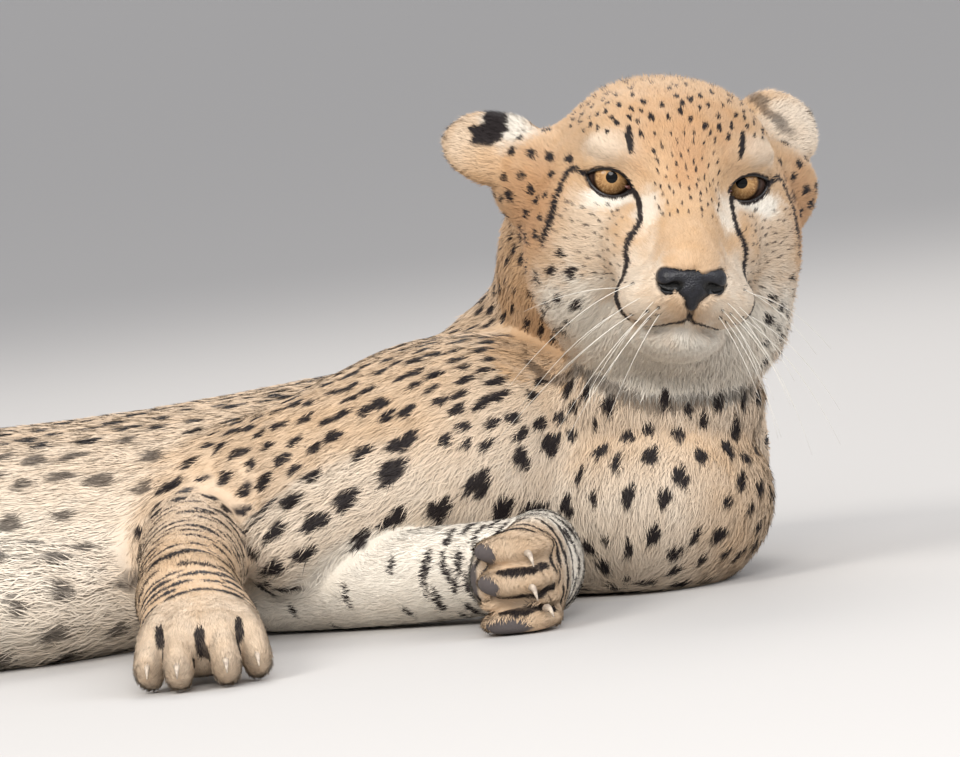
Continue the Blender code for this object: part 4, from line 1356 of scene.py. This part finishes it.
def growCoat():
    roots = rootPlaces(groupOf)
    at, normal = roots["at"], roots["normal"]
    count = len(at)
    report(f"{count} tufts placed")
    pale, rust = groundAt(at)
    report("tuft ground colours")
    length, width, lift, curl, _ = roots["values"].T
    length = length * chance.uniform(0.68, 1.18, count)
    width = width * chance.uniform(0.7, 1.25, count)
    lift = np.radians(lift * chance.uniform(0.45, 1.6, count))
    clump = waveNoise(at, 2.6, 41, 2)
    stray = np.radians(tuft["clump"] * clump * 1.6 + chance.normal(0, tuft["stray"], count))
    lie = turned(roots["lie"], normal, stray)
    lie = unit(lie - (lie * normal).sum(1, keepdims=True) * normal)
    along = (lie * length[:, None]) * chance.uniform(0.25, 0.75, count)[:, None]
    marks = [marksAt(at + along * share, spots, lines) for share in (0.0, 0.5, 1.0)]
    places = toHead(at)
    onCrown = (rise(places[:, 2], 2.8, 4.6) * rise(places[:, 1], -1.0, 2.0)
               * rise(-places[:, 1], -8.5, -4.5) * headRegion(at))
    marks[2] = np.maximum(marks[2], onCrown * chance.uniform(0.0, 0.75, count) ** 1.5)
    length = length * (1 + 0.5 * onCrown)
    lift = lift * (1 + 0.9 * onCrown)
    report("tuft markings")
    start = lie * np.cos(lift)[:, None] + normal * np.sin(lift)[:, None]
    rolls = np.radians(tuft["roll"]) * chance.uniform(-1, 1, count)
    side = unit(turned(np.cross(normal, lie), unit(start), rolls))
    bend = (-normal * 0.55 + side * chance.normal(0, 0.6, count)[:, None]) * curl[:, None]
    low = at - normal * tuft["sink"]
    middle = low + start * (length * 0.5)[:, None]
    tip = middle + unit(start + bend * 2.2) * (length * 0.5)[:, None]
    for level in (middle, tip):
        floorLine = floorLevel + tuft["clear"] + 0.04 * chance.random(count)
        level[:, 2] = np.maximum(level[:, 2], floorLine)
    half = side * (width / 2)[:, None]
    points = np.stack((low, middle - half, middle + half, tip), axis=1)
    shade = np.clip(0.5 + 0.13 * chance.normal(size=count) + 0.12 * waveNoise(at, 1.1, 43, 2), 0, 1)
    tone = np.stack([np.column_stack((marks[level], pale, rust, shade)) for level in (0, 1, 1, 2)], axis=1)
    patch = np.array(((0, -1), (-1, -0.1), (1, -0.1), (0, 1))) * tuft["patch"]
    made = []
    for number, (name, pieces) in enumerate(tuft["groups"].items()):
        mine = np.flatnonzero(roots["group"] == number)
        for piece in range(pieces[0]):
            made.append(coatPiece(f"coat_{name}_{piece + 1}", mine[piece::pieces[0]], points, normal,
                                  lie, tone, roots["patch"], patch))
    return made


def coatPiece(name, chosen, points, normal, lie, tone, patches, patch):
    count = len(chosen)
    mesh = bpy.data.meshes.new(name)
    mesh.vertices.add(count * 4)
    mesh.vertices.foreach_set("co", toRow(points[chosen].reshape(-1, 3)).astype(np.float32).ravel())
    corners = (np.arange(count)[:, None] * 4 + (0, 1, 2, 1, 3, 2)).ravel()
    mesh.loops.add(count * 6)
    mesh.loops.foreach_set("vertex_index", corners.astype(np.int32))
    mesh.polygons.add(count * 2)
    mesh.polygons.foreach_set("loop_start", np.arange(0, count * 6, 3, dtype=np.int32))
    mesh.update(calc_edges=True)
    layer = mesh.uv_layers.new(name="OFBake")
    places = np.repeat(patches[chosen], 6, axis=0) + patch[corners % 4]
    layer.uv.foreach_set("vector", np.clip(places, 0, 1).astype(np.float32).ravel())
    obj = bpy.data.objects.new(name, mesh)
    bpy.context.scene.collection.objects.link(obj)
    addAttribute(obj, "tone", "FLOAT_COLOR", tone[chosen].reshape(-1, 4))
    # tip runs from 0 at the root to 1 at the tip; the coat material darkens the root end, partly as painted
    # shade among the hairs.
    addAttribute(obj, "tip", "FLOAT", np.tile((0, 0.5, 0.5, 1.0), count))
    facing = unit(normal[chosen] + lie[chosen] * 0.25 + chance.normal(0, 0.07, (count, 3)))
    shading = np.repeat(facing, 4, axis=0)
    addAttribute(obj, "facing", "FLOAT_VECTOR", shading)
    mesh.shade_smooth()
    mesh.normals_split_custom_set_from_vertices(shading.astype(np.float32))
    return obj


coatPieces = growCoat()
report(f"coat of {len(coatPieces)} pieces, {sum(len(o.data.polygons) for o in coatPieces)} triangles")


def tube(name, path, radii, sides=8, closed=False):  # a round tube along a path
    path, radii = np.asarray(path, float), np.broadcast_to(radii, len(path))
    count = len(path)
    after = np.roll(path, -1, axis=0) if closed else np.vstack((path[1:], path[-1:] * 2 - path[-2:-1]))
    before = np.roll(path, 1, axis=0) if closed else np.vstack((path[:1] * 2 - path[1:2], path[:-1]))
    run = unit(after - before)
    across = np.array((0.3, 0.2, 1.0)) - run[0] * run[0, 2]
    points = []
    for place, heading, radius in zip(path, run, radii):
        across = unit(across - heading * (across @ heading))
        other = np.cross(heading, across)
        for step in range(sides):
            angle = 2 * math.pi * step / sides
            points.append(place + (across * math.cos(angle) + other * math.sin(angle)) * radius)
    faces = []
    for ring in range(count if closed else count - 1):
        onward = (ring + 1) % count
        for step in range(sides):
            beside = (step + 1) % sides
            faces.append((ring * sides + step, ring * sides + beside, onward * sides + beside,
                          onward * sides + step))
    ends = []
    if not closed:
        ends = [tuple(range(sides))[::-1], tuple((count - 1) * sides + step for step in range(sides))]
    mesh = bpy.data.meshes.new(name)
    mesh.from_pydata(toRow(np.array(points)).tolist(), [], faces + ends)
    mesh.shade_smooth()
    obj = bpy.data.objects.new(name, mesh)
    bpy.context.scene.collection.objects.link(obj)
    return obj


def joined(name, objects):
    bpy.ops.object.select_all(action="DESELECT")
    for obj in objects:
        obj.select_set(True)
    bpy.context.view_layer.objects.active = objects[0]
    bpy.ops.object.join()
    objects[0].name = name
    return objects[0]


# Eyes, in the head's frame.
eyeLook = {"cornea": 0.10, "rings": 64, "spokes": 96, "rim": 0.085}
viewTilt = math.radians(3.5)
gaze = unit(np.array((0.0, -math.cos(viewTilt), math.sin(viewTilt))) @ headTurn)


def onEyeball(side, across, up, extra):
    centre, noseward, ahead, upward = eyeFrames[side]
    radius = eye["radius"] + extra
    depth = math.sqrt(max(radius ** 2 - across ** 2 - up ** 2, 0.01))
    return centre + noseward * across + upward * up + ahead * depth


def openingArc(bow, steps):
    inner, outer = np.array(eye["inner"]), np.array(eye["outer"])
    middle, radius = arcCircle(inner, outer, bow)
    start = math.atan2(*(inner - middle)[::-1])
    end = math.atan2(*(outer - middle)[::-1])
    sweep = (end - start + math.pi) % (2 * math.pi) - math.pi
    angles = start + sweep * np.linspace(0, 1, steps)
    return middle + radius * np.column_stack((np.cos(angles), np.sin(angles)))


def makeEyeball(name, side):
    centre = eyeFrames[side][0]
    across = unit(np.cross(gaze, (0, 0, 1)))
    upward = np.cross(across, gaze)
    points, shares = [], []
    for ring in range(eyeLook["rings"] + 1):
        polar = math.pi * (ring / eyeLook["rings"]) ** 1.5
        for spoke in range(eyeLook["spokes"]):
            angle = 2 * math.pi * spoke / eyeLook["spokes"]
            flat = np.array((math.cos(angle), math.sin(angle))) * math.sin(polar)
            out = math.sin(polar) * eye["radius"]
            bulge = eyeLook["cornea"] * max(0, 1 - (out / 1.0) ** 2) ** 1.2 if polar < 1.5 else 0
            radius = eye["radius"] + bulge - 0.04
            points.append(centre + (across * flat[0] + upward * flat[1] + gaze * math.cos(polar)) * radius)
            shares.append((flat[0] * eye["radius"], flat[1] * eye["radius"], math.cos(polar)))
    spokes = eyeLook["spokes"]
    faces = [(r * spokes + s, r * spokes + (s + 1) % spokes, (r + 1) * spokes + (s + 1) % spokes,
              (r + 1) * spokes + s) for r in range(eyeLook["rings"]) for s in range(spokes)]
    obj = meshFrom(name, fromHead(points), faces)
    addAttribute(obj, "gazePlace", "FLOAT_VECTOR", shares)
    faceOutwards(obj)
    obj.data.shade_smooth()
    return obj


def makeLidRim(name, side):
    upper = openingArc(eye["upper"], 22)
    lower = openingArc(-eye["lower"], 22)[::-1][1:-1]
    loop = np.vstack((upper, lower))
    path = np.array([onEyeball(side, a, u, 0.09) for a, u in loop])
    middle = (np.array(eye["inner"]) + eye["outer"]) / 2
    span = abs(eye["inner"][0] - eye["outer"][0]) / 2
    nearInner = rise((loop[:, 0] - middle[0]) / span, 0.55, 1.0)
    thick = eyeLook["rim"] * (1 + 0.35 * nearInner)
    return tube(name, fromHead(path), thick, 8, closed=True)


eyeballs = {side: makeEyeball(name, side) for side, name in ((1, "eyeball_left"), (-1, "eyeball_right"))}
lidRims = joined("lid_rims", [makeLidRim(f"lid_rim_{side}", side) for side in (1, -1)])
corners = []
for side in (1, -1):
    path = [onEyeball(side, eye["inner"][0] + a, eye["inner"][1] + u, d)
            for a, u, d in ((-0.42, 0.12, -0.03), (-0.22, 0.05, 0.02), (-0.06, 0.0, 0.04))]
    corners.append(tube(f"corner_{side}", fromHead(path), (0.05, 0.12, 0.07), 8))
tearCorners = joined("eye_corners", corners)
report("eyes")


def meshedForm(name, distance, low, high, voxel):  # a small form in the head's frame as a mesh
    counts = np.ceil((np.array(high) - low) / voxel).astype(int)
    cells = np.stack(np.meshgrid(*[np.arange(n) for n in counts], indexing="ij"), -1).reshape(-1, 3)
    values = distance(np.array(low) + cells * voxel).reshape(counts)
    grid = openvdb.FloatGrid(farAway)
    grid.copyFromArray(values.astype(np.float32), ijk=(0, 0, 0), tolerance=0.0)
    points, _, quads = grid.convertToPolygons(isovalue=0.0, adaptivity=0.0)
    obj = meshFrom(name, fromHead(np.array(low) + points * voxel), quads)
    faceOutwards(obj)
    obj.data.shade_smooth()
    return obj


noseLeatherPiece = meshedForm("nose_leather", noseLeather, (-2.6, -8.4, -6.8), (2.6, -4.8, -3.3), 0.06)
# The nostrils' hollows, painted near black on the leather as shade in the recesses.
hollow = 1 - rise(hollowDistance(toHead(vertexPlaces(noseLeatherPiece)), "nostril"), 0.0, 0.09)
addAttribute(noseLeatherPiece, "hollow", "FLOAT", hollow)
report("nose")

whiskers = []
for side in (1, -1):
    for row in range(whisker["rows"]):
        for place in range(whisker["perRow"]):
            root = toHead(whiskerRoot(side, row, place))
            away = unit((side * (0.70 + 0.15 * place), -0.50 + 0.25 * place, -0.35 - 0.30 * row
                         + chance.normal(0, 0.12)))
            reach = chance.uniform(*whisker["length"]) * (0.75 + 0.1 * place)
            droop = chance.uniform(0.25, 0.60)
            path = []
            for step in range(whisker["steps"]):
                t = step / (whisker["steps"] - 1)
                path.append(root + away * reach * t + np.array((0, 0.25, -droop)) * reach * t * t)
            radii = np.linspace(whisker["root"], whisker["tip"], whisker["steps"])
            whiskers.append(tube("whisker", fromHead(path), radii, 4))
whiskerPiece = joined("whiskers", whiskers)


def clawPath(at, heading, length, up=(0, 0, 1)):
    heading, up = unit(heading), np.array(up, float)
    path = []
    for t in np.linspace(0, 1, 7):
        hook = up * (0.20 * math.sin(math.pi * t * 0.9) - 0.55 * t * t)
        path.append(np.array(at) + heading * length * t + hook * length)
    return path


clawSize = {"length": 0.85, "root": 0.19}
claws = []
clawRoots = [((side, reach + 0.35, 1.75), (0.04 * (side - rightToes["middle"]), -1, -0.15))
             for side, reach in zip(rightToes["sides"], rightToes["reach"])]
clawRoots += [((1.3, -16.7, 4.45), (0.35, -1, -0.3)), ((1.3, -17.1, 2.75), (0.35, -1, -0.3)),
              ((1.9, -16.6, 1.55), (0.5, -1, 0.0))]
for leg in hindLegs.values():
    ahead = np.array((*leg["heading"], 0.0))
    across = np.array((-ahead[1], ahead[0], 0.0))
    station = [c for n, c in leg["chains"].items() if n.endswith("Hindfoot")][0]["stations"][-1][0]
    for place, reach in ((-2.1, 2.3), (-0.75, 3.4), (0.75, 3.4), (2.1, 2.3)):
        root = np.array(station) + across * place + ahead * (reach + 0.55)
        root[2] = 1.35
        clawRoots.append((root, ahead - (0, 0, 0.15)))
for root, heading in clawRoots:
    radii = clawSize["root"] * np.array((1.0, 1.0, 0.92, 0.8, 0.62, 0.40, 0.15))
    claws.append(tube("claw", clawPath(root, heading, clawSize["length"]), radii, 8))
clawPiece = joined("claws", claws)
report("whiskers and claws")


class Value:  # a number or colour in a shader, reckoned with as plain numbers are
    def __init__(self, tree, socket):
        self.tree = tree
        self.socket = socket

    def node(self, kind, settings, inputs, output=0):
        made = self.tree.nodes.new("ShaderNode" + kind)
        for name, setting in settings.items():
            setattr(made, name, setting)
        for name, value in inputs.items():
            if isinstance(value, Value):
                self.tree.links.new(value.socket, made.inputs[name])
            else:
                made.inputs[name].default_value = value
        return Value(self.tree, made.outputs[output])

    def reckon(self, operation, *values):
        return self.node("Math", {"operation": operation}, dict(enumerate(values)))

    def __add__(self, other):
        return self.reckon("ADD", self, other)

    def __radd__(self, other):
        return self.reckon("ADD", other, self)

    def __sub__(self, other):
        return self.reckon("SUBTRACT", self, other)

    def __rsub__(self, other):
        return self.reckon("SUBTRACT", other, self)

    def __mul__(self, other):
        return self.reckon("MULTIPLY", self, other)

    def __rmul__(self, other):
        return self.reckon("MULTIPLY", other, self)

    def __truediv__(self, other):
        return self.reckon("DIVIDE", self, other)

    def __pow__(self, other):
        return self.reckon("POWER", self, other)

    def between(self, low, high):  # 0 up to low, 1 from high on, smooth
        inputs = {"Value": self, "From Min": low, "From Max": high}
        return self.node("MapRange", {"interpolation_type": "SMOOTHSTEP"}, inputs)

    def mix(self, start, end):  # this much of the way from one colour to another
        return self.node("Mix", {"data_type": "RGBA"}, {0: self, 6: start, 7: end}, 2)

    def scaled(self, factor):  # a colour or a vector times a number
        return self.node("VectorMath", {"operation": "SCALE"}, {0: self, "Scale": factor})

    def noise(self, scale, detail=3.0, roughness=0.55):
        return self.node("TexNoise", {}, {"Vector": self, "Scale": scale, "Detail": detail,
                                          "Roughness": roughness})


def newMaterial(name, **constants):
    material = bpy.data.materials.new(name)
    material.use_nodes = True
    shader = material.node_tree.nodes["Principled BSDF"]
    for key, value in constants.items():
        shader.inputs[key.replace("_", " ")].default_value = value
    return material, shader, Value(material.node_tree, None)


def plug(value, socket):
    value.tree.links.new(value.socket, socket)


def bumpInto(shader, height, strength, distance):
    bump = height.node("Bump", {}, {"Height": height, "Strength": strength, "Distance": distance})
    plug(bump, shader.inputs["Normal"])


coatColours = {
    "gold": (0.61, 0.378, 0.192, 1), "cream": (0.86, 0.79, 0.68, 1), "rust": (0.44, 0.185, 0.060, 1),
    "mark": (0.018, 0.013, 0.013, 1), "leather": (0.085, 0.072, 0.070, 1),
}


def coatMaterial(name, onSkin):
    material, shader, start = newMaterial(name, Roughness=0.62, Specular_IOR_Level=0.22)
    tone = start.node("Attribute", {"attribute_name": "tone"}, {})
    alpha = Value(tone.tree, tone.socket.node.outputs["Alpha"])
    split = start.node("SeparateColor", {}, {"Color": tone}).socket.node.outputs
    mark, pale, rust = (Value(tone.tree, split[index]) for index in range(3))
    ground = pale.mix(coatColours["gold"], coatColours["cream"])
    ground = rust.mix(ground, coatColours["rust"])
    if onSkin:
        # The skin under the coat is darker than the blades: partly the undercoat's colour, partly painted
        # shade among the hairs.
        ground = ground.scaled(0.70 + 0.20 * alpha)
        coloured = mark.mix(ground, coatColours["mark"])
        leather = start.node("Attribute", {"attribute_name": "leather"}, {}, 2)
        coloured = leather.mix(coloured, coatColours["leather"])
        place = start.node("TexCoord", {}, {}, 3)
        bumpInto(shader, place.noise(900.0, 2.0), 0.5, 0.0006)
    else:
        tip = start.node("Attribute", {"attribute_name": "tip"}, {}, 2)
        # Each blade is darker towards its root: partly the hair's own colour, partly painted shade among
        # the hairs; alpha adds the tuft's own random tone.
        ground = ground.scaled((0.80 + 0.20 * tip) * (0.85 + 0.32 * alpha))
        coloured = mark.between(0.25, 0.75).mix(ground, coatColours["mark"])
        plug(start.node("Attribute", {"attribute_name": "facing"}, {}, 1), shader.inputs["Normal"])
    plug(coloured, shader.inputs["Base Color"])
    return material


def eyeMaterial():
    material, shader, start = newMaterial("eye", Roughness=0.12, Specular_IOR_Level=0.06, Coat_Weight=0.5,
                                          Coat_Roughness=0.02, Coat_IOR=1.35)
    gazePlace = start.node("Attribute", {"attribute_name": "gazePlace"}, {}, 1)
    parts = start.node("SeparateXYZ", {}, {"Vector": gazePlace}).socket.node.outputs
    across, upward, ahead = (Value(gazePlace.tree, parts[index]) for index in range(3))
    away = (across * across + upward * upward) ** 0.5
    front = ahead.between(-0.05, 0.05)
    spoke = start.node("CombineXYZ", {}, {0: across / (away + 0.02), 1: upward / (away + 0.02),
                                          2: away * 0.7})
    fibre = spoke.noise(9.0, 4.0, 0.7)
    outward = (away + (fibre - 0.5) * 0.30).between(0.18, 0.76)
    colour = outward.mix((0.43, 0.240, 0.095, 1), (0.200, 0.098, 0.038, 1))
    colour = fibre.between(0.40, 0.72).mix(colour, (0.54, 0.325, 0.145, 1))
    colour = (away + (fibre - 0.5) * 0.05).between(0.77, 0.95).mix(colour, (0.020, 0.010, 0.006, 1))
    pupil = 1 - away.between(eye["pupil"] - 0.015, eye["pupil"] + 0.02)
    colour = pupil.mix(colour, (0.002, 0.002, 0.002, 1))
    white = away.between(eye["iris"] + 0.02, eye["iris"] + 0.10)
    # Painted shadow of the upper lid: the iris darkens towards its top.
    shaded = upward.between(0.05, 0.75) * 0.75
    colour = shaded.mix(colour, (0.020, 0.010, 0.006, 1))
    colour = white.mix(colour, (0.045, 0.026, 0.020, 1))
    colour = front.mix((0.045, 0.026, 0.020, 1), colour)
    plug(colour, shader.inputs["Base Color"])
    return material


def plainMaterial(name, colour, dark, scale, strength, depth, **constants):
    material, shader, start = newMaterial(name, **constants)
    place = start.node("TexCoord", {}, {}, 3)
    mottle = place.noise(scale, 4.0, 0.6)
    plug(mottle.between(0.35, 0.7).mix(dark, colour), shader.inputs["Base Color"])
    if strength:
        bumpInto(shader, mottle, strength, depth)
    return material


def noseMaterial():
    material, shader, start = newMaterial("nose_leather", Roughness=0.40, Specular_IOR_Level=0.32,
                                          Coat_Weight=0.08)
    place = start.node("TexCoord", {}, {}, 3)
    cells = start.node("TexVoronoi", {}, {"Vector": place, "Scale": 950.0})
    mottle = place.noise(260.0, 3.0)
    leather = mottle.between(0.35, 0.7).mix((0.004, 0.004, 0.006, 1), (0.012, 0.012, 0.017, 1))
    hollow = start.node("Attribute", {"attribute_name": "hollow"}, {}, 2)
    # Painted shade: the nostril hollows are painted near black.
    plug(hollow.mix(leather, (0.002, 0.002, 0.002, 1)), shader.inputs["Base Color"])
    bumpInto(shader, 1 - cells, 0.55, 0.0004)
    return material


coatCover = coatMaterial("coat", onSkin=False)
skinCover = coatMaterial("skin", onSkin=True)
eyeCover = eyeMaterial()
noseCover = noseMaterial()
rimCover = plainMaterial("lid_rim", (0.016, 0.013, 0.012, 1), (0.008, 0.007, 0.007, 1), 500.0, 0.3, 0.0003,
                         Roughness=0.28, Coat_Weight=0.3)
cornerCover = plainMaterial("eye_corner", (0.30, 0.12, 0.10, 1), (0.16, 0.06, 0.05, 1), 600.0, 0.3, 0.0003,
                            Roughness=0.25, Coat_Weight=0.5)
whiskerCover = plainMaterial("whisker", (0.82, 0.78, 0.70, 1), (0.70, 0.66, 0.58, 1), 200.0, 0, 0,
                             Roughness=0.4)
clawCover = plainMaterial("claw", (0.55, 0.46, 0.36, 1), (0.30, 0.24, 0.19, 1), 320.0, 0.2, 0.0004,
                          Roughness=0.35)

pieces = [(skin, skinCover, "coat"), (noseLeatherPiece, noseCover, "nose"), (lidRims, rimCover, "nose"),
          (tearCorners, cornerCover, "nose"), (whiskerPiece, whiskerCover, "coat"),
          (clawPiece, clawCover, "nose"), (eyeballs[1], eyeCover, "eye"), (eyeballs[-1], eyeCover, "eye")]
pieces += [(piece, coatCover, "coat") for piece in coatPieces]
for obj, cover, slotName in pieces:
    obj.data.materials.clear()
    obj.data.materials.append(cover)
    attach(obj, "root")
fleshNodes = ["head", "ear_left", "ear_right", "neck", "chest", "belly", "rump", "tail_base", "tail_middle",
              "tail_tip"]
limbNodes = ("upper_arm", "forearm", "forepaw", "thigh", "shank", "hindfoot")
for side in ("left", "right"):
    fleshNodes += [f"{side}_{part}" for part in limbNodes]
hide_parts(*fleshNodes)
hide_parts("nose")
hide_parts("eye_left")
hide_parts("eye_right")
report("materials")

# The floor, the light and the camera.
stage = {"floor": (0.46, 0.445, 0.43, 1), "world": (0.95, 0.96, 1.0, 1), "worldStrength": 0.75}
bpy.ops.mesh.primitive_plane_add(size=300, location=(0, 0, 0))
floor = bpy.context.object
floor.name = "floor"
floorCover, floorShader, _ = newMaterial("floor", Roughness=0.85)
floorShader.inputs["Base Color"].default_value = stage["floor"]
floor.data.materials.append(floorCover)
world = bpy.data.worlds.new("world")
world.use_nodes = True
world.node_tree.nodes["Background"].inputs["Color"].default_value = stage["world"]
world.node_tree.nodes["Background"].inputs["Strength"].default_value = stage["worldStrength"]
bpy.context.scene.world = world
bpy.context.scene.view_settings.view_transform = "Standard"
lamps = [
    {"name": "key", "at": (-1.5, -2.0, 2.2), "size": 1.6, "power": 78, "colour": (1.0, 0.97, 0.92)},
    {"name": "front", "at": (0.5, -3.4, 2.0), "size": 1.6, "power": 74, "colour": (1.0, 0.98, 0.96)},
    {"name": "fill", "at": (2.3, -1.2, 1.5), "size": 1.8, "power": 30, "colour": (0.95, 0.97, 1.0)},
    {"name": "back", "at": (0.5, 2.2, 2.2), "size": 1.6, "power": 38, "colour": (1.0, 0.97, 0.93)},
]
for lamp in lamps:
    light = bpy.data.lights.new(lamp["name"], "AREA")
    light.shape = "DISK"
    light.size = lamp["size"]
    light.energy = lamp["power"]
    light.color = lamp["colour"]
    obj = bpy.data.objects.new(lamp["name"], light)
    obj.location = lamp["at"]
    obj.rotation_euler = (Vector((0.05, 0, 0.1)) - Vector(lamp["at"])).to_track_quat("-Z", "Y").to_euler()
    bpy.context.scene.collection.objects.link(obj)

view = {"lens": 285.0, "sensor": 36.0, "away": 4.0, "tilt": 3.5, "roll": 6.8, "aim": (0.0, 0.0, 0.125)}
tilt, roll = math.radians(view["tilt"]), math.radians(view["roll"])
forward = Vector((0, math.cos(tilt), -math.sin(tilt)))
rightward = Vector((1, 0, 0))
uphill = rightward.cross(forward)
rolledRight = rightward * math.cos(roll) - uphill * math.sin(roll)
rolledUp = rightward * math.sin(roll) + uphill * math.cos(roll)
camera = bpy.data.objects.new("camera", bpy.data.cameras.new("camera"))
camera.data.lens = view["lens"]
camera.data.sensor_width = view["sensor"]
pose = Matrix((rolledRight, rolledUp, -forward)).transposed().to_4x4()
pose.translation = Vector(view["aim"]) + Vector(rowOffset) - forward * view["away"]
camera.matrix_world = pose
bpy.context.scene.collection.objects.link(camera)
bpy.context.scene.camera = camera

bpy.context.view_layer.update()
report("done")
